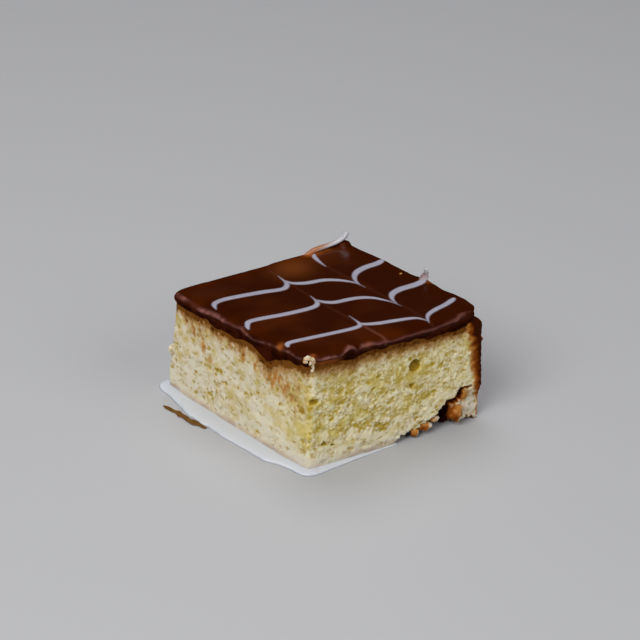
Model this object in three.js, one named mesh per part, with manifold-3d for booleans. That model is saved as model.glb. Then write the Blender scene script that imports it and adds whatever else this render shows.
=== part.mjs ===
// A cut square of tres leches cake: a milk-soaked sponge with one browned pan side and a torn foot,
// a poured glaze combed with white icing, and the milk that has run out of the sponge.
// Seen from above, the front corner is the starting point: one cut face runs from it along +X and
// the other runs back from it. Millimetres, +Z up, standing on Z = 0.
import * as THREE from "three";
import { mergeVertices } from "three/addons/utils/BufferGeometryUtils.js";
import Module from "manifold-3d";

const wasm = await Module();
wasm.setup();
const { clamp, degToRad, lerp, smoothstep } = THREE.MathUtils;

// Foot of the slice: lengths of its faces, and their directions from +X
const rightFaceLength = 70;
const leftFaceLength = 73.6;
const panSideLength = 74.3;
const leftFaceAngle = 100;
const panSideAngle = 95.3;

// Top of the glaze above the foot, at each corner
const frontHeight = 43.3;
const rightHeight = 42.5;
const backHeight = 39;
const leftHeight = 37;
const backCornerLift = 0.3; // torn up when the slice was pulled away
const backEdgeLift = 0.4;
const leftCornerLift = 0.75; // on top of the back edge's
const rimSag = 0.8; // between the front and right corners

// Per side, in the order right cut face, pan side, back cut face, left cut face
const spongeLean = [1.3, 0.4, 2.4, 1.2];
const glazeOverhang = [1.2, -2.6, 0.8, 1.3];

// Per corner, in the order front, right, back, left
const footRadius = [2, 1.8, 4, 2.6];
const topRadius = [2.4, 2.4, 4, 3.6];
const rimRadius = [3.4, 3.4, 5, 5.2];

const glazeThickness = 2.8;
const gap = 0.3;

// Lip of the glaze below its top
const lipDepth = 4.4;
const lipWave = 0.9;
const lipWaveLength = 8;
const lipRun = 1.5;
const dripDepth = 3.8;
const dripAlong = 21;
const dripWidth = 4.6;

const crumbRelief = 0.6;
const crumbSize = 6;

// Foot torn out beside the right corner: a low hollow that rises to a crack, as middles and radii
const tornOut = [
  { x: 42.5, y: -1, z: 0, radii: [8.5, 8, 3.4] },
  { x: 50.5, y: -1, z: 0, radii: [6.5, 10, 6] },
  { x: 54.6, y: -1, z: 4, radii: [3.6, 9, 5] },
  { x: 57.7, y: -1, z: 9, radii: [3.3, 7, 2.2] },
  { x: 61, y: -1, z: 11.4, radii: [1.9, 5, 2.7] },
];

// Air holes that the knife opened
const airHoles = [
  { x: 41.1, y: 0.2, z: 28.2, radii: [2.2, 2.4, 2.1] },
  { x: 39.6, y: 0, z: 21.4, radii: [1.1, 1.4, 1] },
  { x: 2.2, y: 1, z: 25.6, radii: [2.4, 2, 1.1] },
  { x: -8.2, y: 47, z: 24.3, radii: [1.3, 1.1, 1] },
  { x: -7.3, y: 42, z: 14.7, radii: [1.3, 1.1, 1] },
];

// Browned lumps of crust that hang on: at the tear, along the foot, and on the pan side
const crustLumps = [
  { x: 59.2, y: 1.4, z: 4.8, radii: [2.8, 2.9, 3.6] },
  { x: 42.2, y: 0.6, z: 2.8, radii: [1.5, 1.3, 1.9] },
  { x: 46.4, y: 0.7, z: 4, radii: [2.5, 1.4, 1.8] },
  { x: 50.2, y: 0.7, z: 6.2, radii: [1.6, 1.2, 1.2] },
  { x: 69.4, y: 2.6, z: 29.5, radii: [1.1, 1.1, 0.9] },
];

// White icing: rows across the slice, each combed at the same places, and the comb's drift from row to row
const firstRow = new THREE.Vector2(1.6, 13.9);
const nextRow = new THREE.Vector2(-1.9, 20.6);
const rowCount = 4;
const icingRise = 0.4;
const icingEdgeMargin = 1.3;
const strokeSteps = 12;

// The strokes of a row, as places from the row's start and widths along the way
const hookedStroke = {
  path: [[-5.2, -7], [-4, -2.6], [-1, 0], [7, -0.4], [16, -1.6], [24.3, -2.8]],
  widths: [0.5, 2, 2.5, 2.6, 2.6, 2.2],
};
const flick = {
  path: [[24.3, -2.8], [25, 1.2], [25, 5.4]],
  widths: [1.6, 0.9, 0.3],
};
const draggedStroke = {
  path: [[26, -1.6], [28.4, -4.4], [35, -5.8], [40.4, -7.4], [43.2, -10.4], [44.8, -14]],
  widths: [0.5, 1.6, 2.5, 2.2, 1, 0.3],
};
const lastStroke = {
  path: [[45.6, -19], [45.9, -14.6], [48, -10.2], [52.5, -7.4], [58, -6.2], [64.5, -4.8]],
  widths: [0.3, 1.3, 2.8, 3, 3.1, 2.9],
};
const rowStrokes = [hookedStroke, flick, draggedStroke, lastStroke];

// Icing pulled up off the rim, as x, y and height above the glaze: a curl at the back corner, and a small
// peak where the second row ends
const curl = {
  path: [[46, 69.8, -0.2], [51, 70.2, 0.1], [55.4, 70.4, 0.6], [58.6, 70.6, 1.6], [59.8, 70.8, 3]],
  widths: [1, 1.8, 2.2, 1.8, 1.2],
};
const peak = {
  path: [[62.4, 30, -0.2], [64.6, 30.4, 0.3], [65.4, 30.6, 1.8], [65.2, 30.8, 3.4]],
  widths: [1.6, 2, 1, 0.4],
};
const peakRise = 0.9;

// Milk pool: how far it spreads from the left cut face, how deep it stands, and how far round it reaches
const poolWidth = 6.8;
const poolWidthAtFront = 2.2;
const poolWidthAtLeft = 3.4;
const poolDepth = 1.3;
const poolEdge = { width: 0.4, depth: 0.3 };
const poolSection = [[0, 0], [0, 1], [0.6, 0.8], [0.92, 0.45], [1, 0]]; // shares of its width and depth
const poolOnRightFace = 36;
const poolOnBackFace = 16;

const sideSteps = 18;
const cornerSteps = 4;

// Smooth noise between -1 and 1: scattered values at whole-number points, blended between them
function latticeValue(i, j, k) {
  const wave = Math.sin(127.1 * i + 311.7 * j + 74.7 * k) * 43758.5453;
  return 2 * (wave - Math.floor(wave)) - 1;
}

function smoothNoise(x, y, z) {
  const [i, j, k] = [x, y, z].map(Math.floor);
  const [u, v, w] = [x - i, y - j, z - k].map((part) => part * part * (3 - 2 * part));
  const row = (dj, dk) => lerp(latticeValue(i, j + dj, k + dk), latticeValue(i + 1, j + dj, k + dk), u);
  const face = (dk) => lerp(row(0, dk), row(1, dk), v);
  return lerp(face(0), face(1), w);
}

// Corners of the foot, counterclockwise from the front
function polar(length, degrees) {
  const angle = degToRad(degrees);
  return new THREE.Vector2(length * Math.cos(angle), length * Math.sin(angle));
}

const frontFoot = new THREE.Vector2(0, 0);
const rightFoot = new THREE.Vector2(rightFaceLength, 0);
const backFoot = polar(panSideLength, panSideAngle).add(rightFoot);
const leftFoot = polar(leftFaceLength, leftFaceAngle);
const footCorners = [frontFoot, rightFoot, backFoot, leftFoot];

// The four corners after each side has moved inwards by its own amount
function moveSides(corners, inwards) {
  const sides = corners.map((corner, n) => {
    const along = corners[(n + 1) % 4].clone().sub(corner).normalize();
    const normal = new THREE.Vector2(-along.y, along.x);
    return { normal, reach: normal.dot(corner) + inwards[n] };
  });
  return corners.map((_, n) => {
    const before = sides[(n + 3) % 4];
    const after = sides[n];
    const cross = before.normal.cross(after.normal);
    return new THREE.Vector2(
      (before.reach * after.normal.y - after.reach * before.normal.y) / cross,
      (after.reach * before.normal.x - before.reach * after.normal.x) / cross,
    );
  });
}

const everySide = (distance) => [distance, distance, distance, distance];
const spongeTop = moveSides(footCorners, spongeLean);
const glazeRim = moveSides(spongeTop, glazeOverhang.map((reach) => -reach));

// Outline from above: straight sides and round corners, with the same points in the same order every time
function outline(corners, radii) {
  const points = [];
  corners.forEach((corner, n) => {
    const before = corners[(n + 3) % 4];
    const after = corners[(n + 1) % 4];
    const arcStart = before.clone().sub(corner).setLength(radii[n]).add(corner);
    const arcEnd = after.clone().sub(corner).setLength(radii[n]).add(corner);
    const nextArc = corner.clone().sub(after).setLength(radii[(n + 1) % 4]).add(after);
    const arc = new THREE.QuadraticBezierCurve(arcStart, corner, arcEnd).getPoints(cornerSteps);
    const side = new THREE.LineCurve(arcEnd, nextArc).getPoints(sideSteps);
    points.push(...arc.slice(0, -1), ...side.slice(0, -1));
  });
  return points;
}

// Height of the glaze over a point: the four corner heights blended across the foot, with the rim sagging
// between the front and right corners, the back corner torn up and the back edge raised towards the left
function glazeHeight(x, y) {
  const back = y / leftFoot.y;
  const leftX = back * leftFoot.x;
  const rightX = lerp(rightFoot.x, backFoot.x, back);
  const across = (x - leftX) / (rightX - leftX);
  const front = lerp(frontHeight, rightHeight, across);
  const rear = lerp(leftHeight, backHeight, across);
  const sag = rimSag * Math.sin(Math.PI * clamp(across, 0, 1)) * (1 - smoothstep(back, 0, 0.2));
  const lift = backCornerLift * smoothstep(across, 0.7, 1) * smoothstep(back, 0.78, 1);
  const edgeLift = backEdgeLift + leftCornerLift * (1 - smoothstep(across, 0.1, 0.45));
  const raised = edgeLift * smoothstep(back, 0.8, 1) * (1 - smoothstep(across, 0.62, 0.8));
  return lerp(front, rear, back) - sag + lift + raised;
}

function middleOf(points) {
  const sum = points.reduce((total, point) => total.add(point), points[0].clone().multiplyScalar(0));
  return sum.divideScalar(points.length);
}

// Closed geometry through rings of equal count, counterclockwise about the way they advance, with both
// ends filled
function loft(rings) {
  const count = rings[0].length;
  const points = rings.flat();
  const faces = [];
  for (let r = 0; r + 1 < rings.length; r += 1) {
    for (let n = 0; n < count; n += 1) {
      const a = r * count + n;
      const b = r * count + ((n + 1) % count);
      faces.push(a, b, b + count, a, b + count, a + count);
    }
  }
  const lastStart = (rings.length - 1) * count;
  const firstMiddle = points.push(middleOf(rings[0])) - 1;
  const lastMiddle = points.push(middleOf(rings.at(-1))) - 1;
  for (let n = 0; n < count; n += 1) {
    const next = (n + 1) % count;
    faces.push(firstMiddle, next, n, lastMiddle, lastStart + n, lastStart + next);
  }
  const geometry = new THREE.BufferGeometry().setFromPoints(points);
  return geometry.setIndex(faces);
}

function toSolid(geometry) {
  const vertProperties = geometry.getAttribute("position").array;
  const triVerts = new Uint32Array(geometry.getIndex().array);
  return new wasm.Manifold(new wasm.Mesh({ numProp: 3, vertProperties, triVerts }));
}

function toGeometry(solid) {
  const { vertProperties, triVerts } = solid.getMesh();
  const geometry = new THREE.BufferGeometry();
  geometry.setAttribute("position", new THREE.BufferAttribute(vertProperties, 3));
  geometry.setIndex(new THREE.BufferAttribute(triVerts, 1));
  geometry.computeVertexNormals();
  return geometry;
}

// A rough lump of crumb: a ball stretched to three radii, its surface pushed in and out
function crumbLump({ x, y, z, radii }, roughness, detail) {
  const ball = new THREE.IcosahedronGeometry(1, detail);
  ball.deleteAttribute("normal");
  ball.deleteAttribute("uv");
  const lump = mergeVertices(ball);
  const place = lump.getAttribute("position");
  const point = new THREE.Vector3();
  for (let n = 0; n < place.count; n += 1) {
    point.fromBufferAttribute(place, n);
    const swell = 1 + roughness * smoothNoise(2 * point.x + x, 2 * point.y + y, 2 * point.z + z);
    point.multiplyScalar(swell);
    place.setXYZ(n, x + radii[0] * point.x, y + radii[1] * point.y, z + radii[2] * point.z);
  }
  return toSolid(lump);
}

// Sponge

// Level of the sponge at a fraction of its height, grown outwards by a margin. The crumb relief fades out
// at the foot, where the milk lies against it, and under the glaze
function spongeRing(fraction, margin, relief) {
  const leaning = smoothstep(fraction, -0.15, 1.15);
  const corners = footCorners.map((foot, n) => foot.clone().lerp(spongeTop[n], leaning));
  const radii = footRadius.map((radius, n) => lerp(radius, topRadius[n], leaning));
  const points = outline(moveSides(corners, everySide(-margin)), radii);
  const middle = middleOf(points);
  const fade = smoothstep(fraction, 0.06, 0.16) * (1 - smoothstep(fraction, 0.72, 0.84));
  return points.map((point) => {
    const z = fraction * (glazeHeight(point.x, point.y) - glazeThickness - gap + margin);
    const [u, v, w] = [point.x / crumbSize, point.y / crumbSize, z / crumbSize];
    const bump = 0.65 * smoothNoise(u, v, w) + 0.35 * smoothNoise(2.3 * u, 2.3 * v, 2.3 * w);
    const outwards = point.clone().sub(middle).setLength(relief * fade * bump);
    return new THREE.Vector3(point.x + outwards.x, point.y + outwards.y, z);
  });
}

function makeSponge() {
  const levels = [0, 0.04, 0.1, 0.18, 0.27, 0.36, 0.45, 0.54, 0.63, 0.72, 0.82, 0.92, 1];
  const block = toSolid(loft(levels.map((fraction) => spongeRing(fraction, 0, crumbRelief))));
  const torn = tornOut.reduce((sponge, hollow) => sponge.subtract(crumbLump(hollow, 0.16, 3)), block);
  const holed = airHoles.reduce((sponge, hole) => sponge.subtract(crumbLump(hole, 0.1, 1)), torn);
  return crustLumps.reduce((sponge, lump) => sponge.add(crumbLump(lump, 0.25, 2)), holed);
}

// Glaze

// How far the lip hangs below the top at a point of the rim: uneven, run down further along the right cut
// face, and with one long drip on the left cut face
function lipHang(x, y) {
  const wave = lipWave * smoothNoise(x / lipWaveLength, y / lipWaveLength, 3);
  const onRightFace = 1 - smoothstep(y, 5, 10);
  const run = lipRun * onRightFace * smoothstep(x, 15, 40) * (1 - smoothstep(x, 52, 64));
  const fromDrip = (Math.hypot(x, y) - dripAlong) / dripWidth;
  const drip = x < 0 ? dripDepth * Math.exp(-fromDrip * fromDrip) : 0;
  return lipDepth + wave + run + drip;
}

// Ring of the glaze: so far in from the rim, and below the top by a drop and a share of the lip's hang
function glazeRing(inset, drop, hangShare) {
  const radii = rimRadius.map((radius) => Math.max(radius - inset, 1));
  return outline(moveSides(glazeRim, everySide(inset)), radii).map(({ x, y }) => {
    const fall = drop + hangShare * lipHang(x, y);
    return new THREE.Vector3(x, y, glazeHeight(x, y) - fall);
  });
}

// Ring of the flat top, shrunk towards the middle
function glazeTopRing(share) {
  const rim = glazeRing(3, 0, 0);
  const middle = middleOf(rim);
  return rim.map((point) => {
    const { x, y } = middle.clone().lerp(point, share);
    return new THREE.Vector3(x, y, glazeHeight(x, y));
  });
}

function makeGlazeLayer() {
  const underside = [glazeRing(5, 0, 1), glazeRing(1.1, 0, 1)];
  const lip = [glazeRing(0.35, -0.3, 1), glazeRing(0, 0, 0.65)];
  const shoulder = [glazeRing(0.1, 1.3, 0), glazeRing(0.75, 0.45, 0), glazeRing(1.7, 0.08, 0)];
  const top = [1, 0.75, 0.5, 0.25].map(glazeTopRing);
  const spongeWithGap = loft([0.4, 0.7, 1].map((fraction) => spongeRing(fraction, gap, 0)));
  return toSolid(loft([...underside, ...lip, ...shoulder, ...top])).subtract(toSolid(spongeWithGap));
}

// White icing

// A value part of the way along a list of values
function along(values, share) {
  const place = share * (values.length - 1);
  const before = Math.min(Math.floor(place), values.length - 2);
  return lerp(values[before], values[before + 1], place - before);
}

// A low five-sided bead through places, each a point and a width
function bead(places, rise) {
  return toSolid(loft(places.map(({ point, width }, n) => {
    const before = places[Math.max(n - 1, 0)].point;
    const after = places[Math.min(n + 1, places.length - 1)].point;
    const way = after.clone().sub(before).normalize();
    const across = new THREE.Vector3(-way.y, way.x, 0).normalize();
    const up = way.clone().cross(across);
    return [90, 162, 234, 306, 378].map((degrees) => {
      const side = (width / 2) * Math.cos(degToRad(degrees));
      const lift = Math.min(rise, width / 2) * Math.sin(degToRad(degrees));
      return point.clone().addScaledVector(across, side).addScaledVector(up, lift);
    });
  })));
}

function insideRim(point, rim) {
  return rim.every((corner, n) => {
    const edge = rim[(n + 1) % rim.length].clone().sub(corner);
    return edge.cross(point.clone().sub(corner)) >= 0;
  });
}

// The part of each stroke that lies on the slice
function makeRows() {
  const rim = outline(moveSides(glazeRim, everySide(icingEdgeMargin)), topRadius);
  const beads = [];
  for (let row = 0; row < rowCount; row += 1) {
    const start = firstRow.clone().addScaledVector(nextRow, row);
    rowStrokes.forEach(({ path, widths }) => {
      const curve = new THREE.SplineCurve(path.map(([x, y]) => new THREE.Vector2(x, y).add(start)));
      const kept = [];
      for (let step = 0; step <= strokeSteps; step += 1) {
        const flat = curve.getPoint(step / strokeSteps);
        if (insideRim(flat, rim)) {
          const point = new THREE.Vector3(flat.x, flat.y, glazeHeight(flat.x, flat.y));
          kept.push({ point, width: along(widths, step / strokeSteps) });
        }
      }
      if (kept.length > 3) {
        beads.push(bead(kept, icingRise));
      }
    });
  }
  return beads;
}

function makePeak({ path, widths }) {
  const points = path.map(([x, y, lift]) => new THREE.Vector3(x, y, glazeHeight(x, y) + lift));
  const curve = new THREE.CatmullRomCurve3(points);
  const places = curve.getPoints(strokeSteps).map((point, step) => {
    return { point, width: along(widths, step / strokeSteps) };
  });
  return bead(places, peakRise);
}

function makeGlaze() {
  const icing = [...makeRows(), makePeak(curl), makePeak(peak)];
  return icing.reduce((glaze, stroke) => glaze.add(stroke), makeGlazeLayer());
}

// Milk pool: a shallow bead of milk along the foot, from the back face round the left to the right face,
// thinning out at both ends
function makeMilk() {
  const foot = outline(moveSides(footCorners, everySide(-gap)), footRadius);
  const perSide = cornerSteps + sideSteps;
  const thinFrom = (corner, reach) => (point) => 1 - smoothstep(point.distanceTo(corner), 0, reach);
  const backFace = foot.slice(2 * perSide + cornerSteps, 3 * perSide);
  const leftFace = foot.slice(3 * perSide);
  const rightFace = foot.slice(0, perSide);
  const stretches = [
    { points: backFace, fullness: thinFrom(leftFoot, poolOnBackFace) },
    { points: leftFace, fullness: () => 1 },
    { points: rightFace, fullness: thinFrom(frontFoot, poolOnRightFace) },
  ];
  const walk = stretches
    .flatMap(({ points, fullness }) => points.map((point) => ({ point, full: fullness(point) })))
    .filter(({ full }) => full > 0);
  return loft(walk.map(({ point, full }, n) => {
    const before = walk[Math.max(n - 1, 0)].point;
    const after = walk[Math.min(n + 1, walk.length - 1)].point;
    const way = after.clone().sub(before).normalize();
    const outwards = new THREE.Vector2(way.y, -way.x);
    const fromFront = lerp(poolWidthAtFront, poolWidth, smoothstep(point.y, 0, 22));
    const spread = lerp(fromFront, poolWidthAtLeft, smoothstep(point.y, 45, leftFoot.y));
    const uneven = 1 + 0.14 * smoothNoise(point.x / 9, point.y / 9, 8);
    const width = poolEdge.width + spread * full * uneven;
    const depth = poolEdge.depth + poolDepth * full;
    return poolSection.map(([reach, height]) => {
      const place = point.clone().addScaledVector(outwards, reach * width);
      return new THREE.Vector3(place.x, place.y, height * depth);
    });
  }));
}

// The three parts, with the middle of their footprint at the origin
function part(name, geometry, color, roughness) {
  const mesh = new THREE.Mesh(geometry, new THREE.MeshStandardMaterial({ color, roughness, metalness: 0 }));
  mesh.name = name;
  return mesh;
}

const slice = new THREE.Group();
slice.add(part("sponge", toGeometry(makeSponge()), 0xbba67a, 0.85));
slice.add(part("glaze", toGeometry(makeGlaze()), 0x3a1506, 0.2));
slice.add(part("milk", makeMilk(), 0xd9dade, 0.15));
const middle = new THREE.Box3().setFromObject(slice).getCenter(new THREE.Vector3());
slice.position.set(-middle.x, -middle.y, 0);

export default slice;
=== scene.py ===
import itertools
import math
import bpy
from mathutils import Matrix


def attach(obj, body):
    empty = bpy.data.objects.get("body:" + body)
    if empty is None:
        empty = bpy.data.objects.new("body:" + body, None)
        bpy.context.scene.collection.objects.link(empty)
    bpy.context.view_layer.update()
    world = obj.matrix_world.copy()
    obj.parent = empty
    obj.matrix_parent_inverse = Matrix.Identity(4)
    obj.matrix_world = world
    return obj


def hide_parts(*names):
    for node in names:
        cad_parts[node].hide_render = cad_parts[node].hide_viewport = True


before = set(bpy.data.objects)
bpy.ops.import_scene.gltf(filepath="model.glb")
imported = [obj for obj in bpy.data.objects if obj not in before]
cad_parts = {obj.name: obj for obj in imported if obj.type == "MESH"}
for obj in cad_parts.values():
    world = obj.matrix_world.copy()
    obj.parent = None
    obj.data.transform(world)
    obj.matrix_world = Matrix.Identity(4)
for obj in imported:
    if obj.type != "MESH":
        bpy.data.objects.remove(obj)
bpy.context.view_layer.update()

from types import SimpleNamespace

import bpy
import numpy as np
from mathutils import Matrix, Vector

# A slice of tres leches cake. Shapes are worked out in millimetres from the front foot corner: the right
# cut face runs from it along +X, the left cut face runs back from it, and +Z is up.
# Sides go round as right cut face, pan side, back cut face and left cut face, and corners as front, right,
# back and left.
cake = {
    "rightFaceLength": 70.0,
    "leftFaceLength": 73.6,
    "panSideLength": 74.3,
    "leftFaceAngle": 100.0,  # degrees from +X
    "panSideAngle": 95.3,
    "cornerHeights": [43.3, 42.5, 39.0, 37.0],  # top of the glaze
    "rimSag": 0.8,  # between the front and right corners
    "rimSagEnd": 0.2,  # share of the way back by which it has gone
    "backCornerLift": 0.15,
    "backCornerStart": [0.7, 0.78],  # shares of the way across and of the way back
    "backEdgeLift": 0.4,
    "backEdgeStart": 0.8,
    "backEdgeFade": [0.62, 0.8],  # shares of the way across between which it goes
    "leftCornerLift": 0.75,  # on top of the back edge's
    "leftCornerFade": [0.1, 0.45],
    "spongeLean": [1.3, 0.4, 2.4, 1.2],
    "glazeOverhang": [1.2, -2.6, 0.8, 1.3],
    "footRadius": [2.0, 1.8, 4.0, 1.6],
    "topRadius": [2.4, 2.0, 4.0, 3.2],
    "glazeRadius": [3.4, 3.0, 5.0, 5.6],
    "smallestRadius": 0.8,
    "panEdgeDrop": 2.4,  # the sponge's top falls away at the pan side
    "panEdgeSpan": [-0.5, 4.5],
    "glazeThickness": 3.1,
}
mmPerMetre = 1000.0


# Numbers and noise

scatter = {
    "waveAlong": [127.1, 311.7, 74.7],  # how fast the sine turns along each axis
    "waveShift": 53.3,  # from one seed to the next
    "waveHeight": 43758.5453,
    "octaveScale": 2.1,
    "octaveShift": 17.3,
}


def smoothstep(values, low, high):  # 0 below low, 1 above high, 3tt - 2ttt between
    t = np.clip((values - low) / (high - low), 0, 1)
    return t * t * (3 - 2 * t)


def fade(values, low, high):  # what the smoothstep leaves: 1 below low, 0 above high
    return 1 - smoothstep(values, low, high)


def mix(first, second, share):  # the first plus a share of the way to the second
    return first + (second - first) * share


def bell(way, spread):  # e to the minus square of the way over its spread
    return np.exp(-(way / spread) ** 2)


def turns(count):  # angles in even steps once round
    return np.linspace(0, 2 * np.pi, count, endpoint=False)


def lattice(cells, seed=0):  # values from 0 to 1 at whole-number points: what a large sine leaves over
    turn = cells @ np.array(scatter["waveAlong"]) + scatter["waveShift"] * seed
    wave = np.sin(turn) * scatter["waveHeight"]
    return wave - np.floor(wave)


def smoothNoise(points, size=1.0, shift=0.0):
    # -1 to 1 over cells of this size: the values at a cell's eight corners, blended by smoothstep weights
    points = points / np.asarray(size) + shift
    base = np.floor(points)
    t = points - base
    t = t * t * (3 - 2 * t)
    total = np.zeros(points.shape[:-1])
    for corner in itertools.product((0, 1), repeat=3):
        weight = np.prod(np.where(corner, t, 1 - t), axis=-1)
        total += weight * (2 * lattice(base + corner) - 1)
    return total


def roughNoise(points, size, octaves):  # smooth noises summed, each half as high and finer by the scale
    scaled = points / np.asarray(size)
    scale, shift = scatter["octaveScale"], scatter["octaveShift"]
    return sum(0.5 ** n * smoothNoise(scaled * scale ** n, shift=shift * n) for n in range(octaves))


def jitter(points, reach, size, shifts):  # a smooth noise of its own for each axis
    return reach * np.stack([smoothNoise(points, size, shift) for shift in shifts], axis=-1)


def neighbours(points, cell, seed):
    # for each of the 27 cells round a point: the way from the cell's jittered spot, and the cell's own draw
    home = np.floor(points / cell)
    for step in itertools.product((-1, 0, 1), repeat=3):
        cells = home + step
        spot = np.stack([lattice(cells, seed + n) for n in range(3)], axis=-1)
        yield points - (cells + spot) * cell, lattice(cells, seed + 3)


# Plan of the slice

def unit(vectors):  # each over its own length
    return vectors / np.linalg.norm(vectors, axis=-1, keepdims=True)


def fromAngle(length, degrees):  # length times cosine and sine
    return length * np.array([math.cos(math.radians(degrees)), math.sin(math.radians(degrees))])


def quarterTurn(vectors):  # level vectors turned to their left
    return np.stack([-vectors[..., 1], vectors[..., 0]], axis=-1)


def withHeight(flat, z):  # level places with their heights added
    return np.concatenate([flat, z[..., None]], axis=-1)


def atLevel(flat):  # level places at height 0
    return withHeight(flat, np.zeros(flat.shape[:-1]))


def moveSides(corners, inwards):  # each side's line slides in by its amount; neighbours meet again
    along = unit(np.roll(corners, -1, axis=-2) - corners)
    normal = quarterTurn(along)
    reach = (normal * corners).sum(-1) + inwards
    before = np.roll(normal, 1, axis=-2)
    beforeReach = np.roll(reach, 1, axis=-1)
    cross = before[..., 0] * normal[..., 1] - before[..., 1] * normal[..., 0]
    x = (beforeReach * normal[..., 1] - reach * before[..., 1]) / cross
    y = (reach * before[..., 0] - beforeReach * normal[..., 0]) / cross
    return np.stack([x, y], axis=-1)


def outline(corners, radii, sideSteps, cornerSteps):  # quadratic curves at the corners, lines between
    parts = []
    for n in range(4):
        corner, before, after = (corners[..., k % 4, :] for k in (n, n + 3, n + 1))
        arcStart = corner + unit(before - corner) * radii[..., n, None]
        arcEnd = corner + unit(after - corner) * radii[..., n, None]
        nextArc = after + unit(corner - after) * radii[..., (n + 1) % 4, None]
        arcStart, arcEnd, nextArc, corner = (p[..., None, :] for p in (arcStart, arcEnd, nextArc, corner))
        t = np.linspace(0, 1, cornerSteps, endpoint=False)[:, None]
        parts.append((1 - t) ** 2 * arcStart + 2 * t * (1 - t) * corner + t ** 2 * arcEnd)
        t = np.linspace(0, 1, sideSteps[n], endpoint=False)[:, None]
        parts.append((1 - t) * arcEnd + t * nextArc)
    return np.concatenate(parts, axis=-2)


def outOfRings(rings):  # the way between a point's neighbours on its closed ring, turned to the right
    way = np.roll(rings, -1, axis=-2) - np.roll(rings, 1, axis=-2)
    return -unit(quarterTurn(way))


rightFoot = np.array([cake["rightFaceLength"], 0.0])
leftFoot = fromAngle(cake["leftFaceLength"], cake["leftFaceAngle"])
backFoot = rightFoot + fromAngle(cake["panSideLength"], cake["panSideAngle"])
footCorners = np.array([[0.0, 0.0], rightFoot, backFoot, leftFoot])
spongeTop = moveSides(footCorners, np.array(cake["spongeLean"]))
glazeRim = moveSides(spongeTop, -np.array(cake["glazeOverhang"]))
leftFaceWay = fromAngle(1.0, cake["leftFaceAngle"])
outOfLeft = quarterTurn(leftFaceWay)


def glazeHeight(flat):
    # corner heights blended across the foot, less a half sine's sag at the front rim, plus the lifted back
    x, y = flat[..., 0], flat[..., 1]
    front, right, back, left = cake["cornerHeights"]
    depth = y / leftFoot[1]
    leftX = depth * leftFoot[0]
    rightX = rightFoot[0] + depth * (backFoot[0] - rightFoot[0])
    across = (x - leftX) / (rightX - leftX)
    level = mix(mix(front, right, across), mix(left, back, across), depth)
    sag = cake["rimSag"] * np.sin(np.pi * np.clip(across, 0, 1)) * fade(depth, 0, cake["rimSagEnd"])
    startAcross, startBack = cake["backCornerStart"]
    lift = cake["backCornerLift"] * smoothstep(across, startAcross, 1) * smoothstep(depth, startBack, 1)
    raised = cake["backEdgeLift"] + cake["leftCornerLift"] * fade(across, *cake["leftCornerFade"])
    lift += raised * smoothstep(depth, cake["backEdgeStart"], 1) * fade(across, *cake["backEdgeFade"])
    return level - sag + lift


def frontCornerInFrame(floorHeight=0.01):
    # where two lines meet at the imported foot: the right face at its lowest Y and the left face at its reach
    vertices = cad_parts["sponge"].data.vertices
    points = np.empty(3 * len(vertices), np.float32)
    vertices.foreach_get("co", points)
    points = points.reshape(-1, 3) * mmPerMetre
    foot = points[points[:, 2] < floorHeight, :2]
    y = foot[:, 1].min()
    x = ((foot @ outOfLeft).max() - outOfLeft[1] * y) / outOfLeft[0]
    return np.array([x, y, 0.0])


frontCorner = frontCornerInFrame()
print("front foot corner in the frame, mm:", frontCorner.round(2))


# Meshes and nodes

def ringFaces(rows, columns, start=0):  # quads between rings that each close on themselves
    row, column = np.meshgrid(np.arange(rows - 1), np.arange(columns), indexing="ij")
    a = start + row * columns + column
    b = start + row * columns + (column + 1) % columns
    return np.stack([a, b, b + columns, a + columns], axis=-1).reshape(-1, 4)


def fanFaces(ring, middle):  # triangles from a ring to one point
    return np.stack([np.full_like(ring, middle), ring, np.roll(ring, -1)], axis=-1)


def closedRings(rings, start=0):  # a body of rings with both ends fanned to their middles
    rows, columns = rings.shape[:2]
    points = np.concatenate([rings.reshape(-1, 3), [rings[0].mean(0), rings[-1].mean(0)]])
    ring = start + np.arange(columns)
    low = start + rows * columns
    ends = [fanFaces(ring[::-1], low), fanFaces(ring + (rows - 1) * columns, low + 1)]
    return points, [ringFaces(rows, columns, start), *ends]


def addObject(name, data):
    made = bpy.data.objects.new(name, data)
    bpy.context.scene.collection.objects.link(made)
    return made


def makePiece(name, points, faces, material, attributes):  # millimetres become metres in the frame
    mesh = bpy.data.meshes.new(name)
    corners = [corner for block in faces for corner in block.tolist()]
    mesh.from_pydata(((points + frontCorner) / mmPerMetre).tolist(), [], corners)
    for key, values in attributes.items():
        layer = mesh.attributes.new(key, "FLOAT", "POINT")
        layer.data.foreach_set("value", np.ravel(values).astype(np.float32))
    mesh.materials.append(material)
    mesh.shade_smooth()
    piece = addObject(name, mesh)
    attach(piece, "root")
    print(f"{name}: {len(points)} points, {len(corners)} faces")
    return piece


def colour(red, green, blue):  # screen values from 0 to 255 as the linear colour of a socket
    screen = np.array([red, green, blue]) / 255.0
    linear = np.where(screen <= 0.04045, screen / 12.92, ((screen + 0.055) / 1.055) ** 2.4)
    return (*linear.tolist(), 1.0)


def setInputs(tree, node, inputs):  # sockets are linked, plain values are set
    for key, value in inputs.items():
        if isinstance(value, bpy.types.NodeSocket):
            tree.links.new(value, node.inputs[key])
        else:
            node.inputs[key].default_value = value


def addNode(tree, kind, inputs, **settings):
    made = tree.nodes.new(kind)
    for key, value in settings.items():
        setattr(made, key, value)
    setInputs(tree, made, inputs)
    return made


def attributeOf(tree, name):  # a value that the mesh carries at its points
    return addNode(tree, "ShaderNodeAttribute", {}, attribute_name=name).outputs["Fac"]


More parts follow.
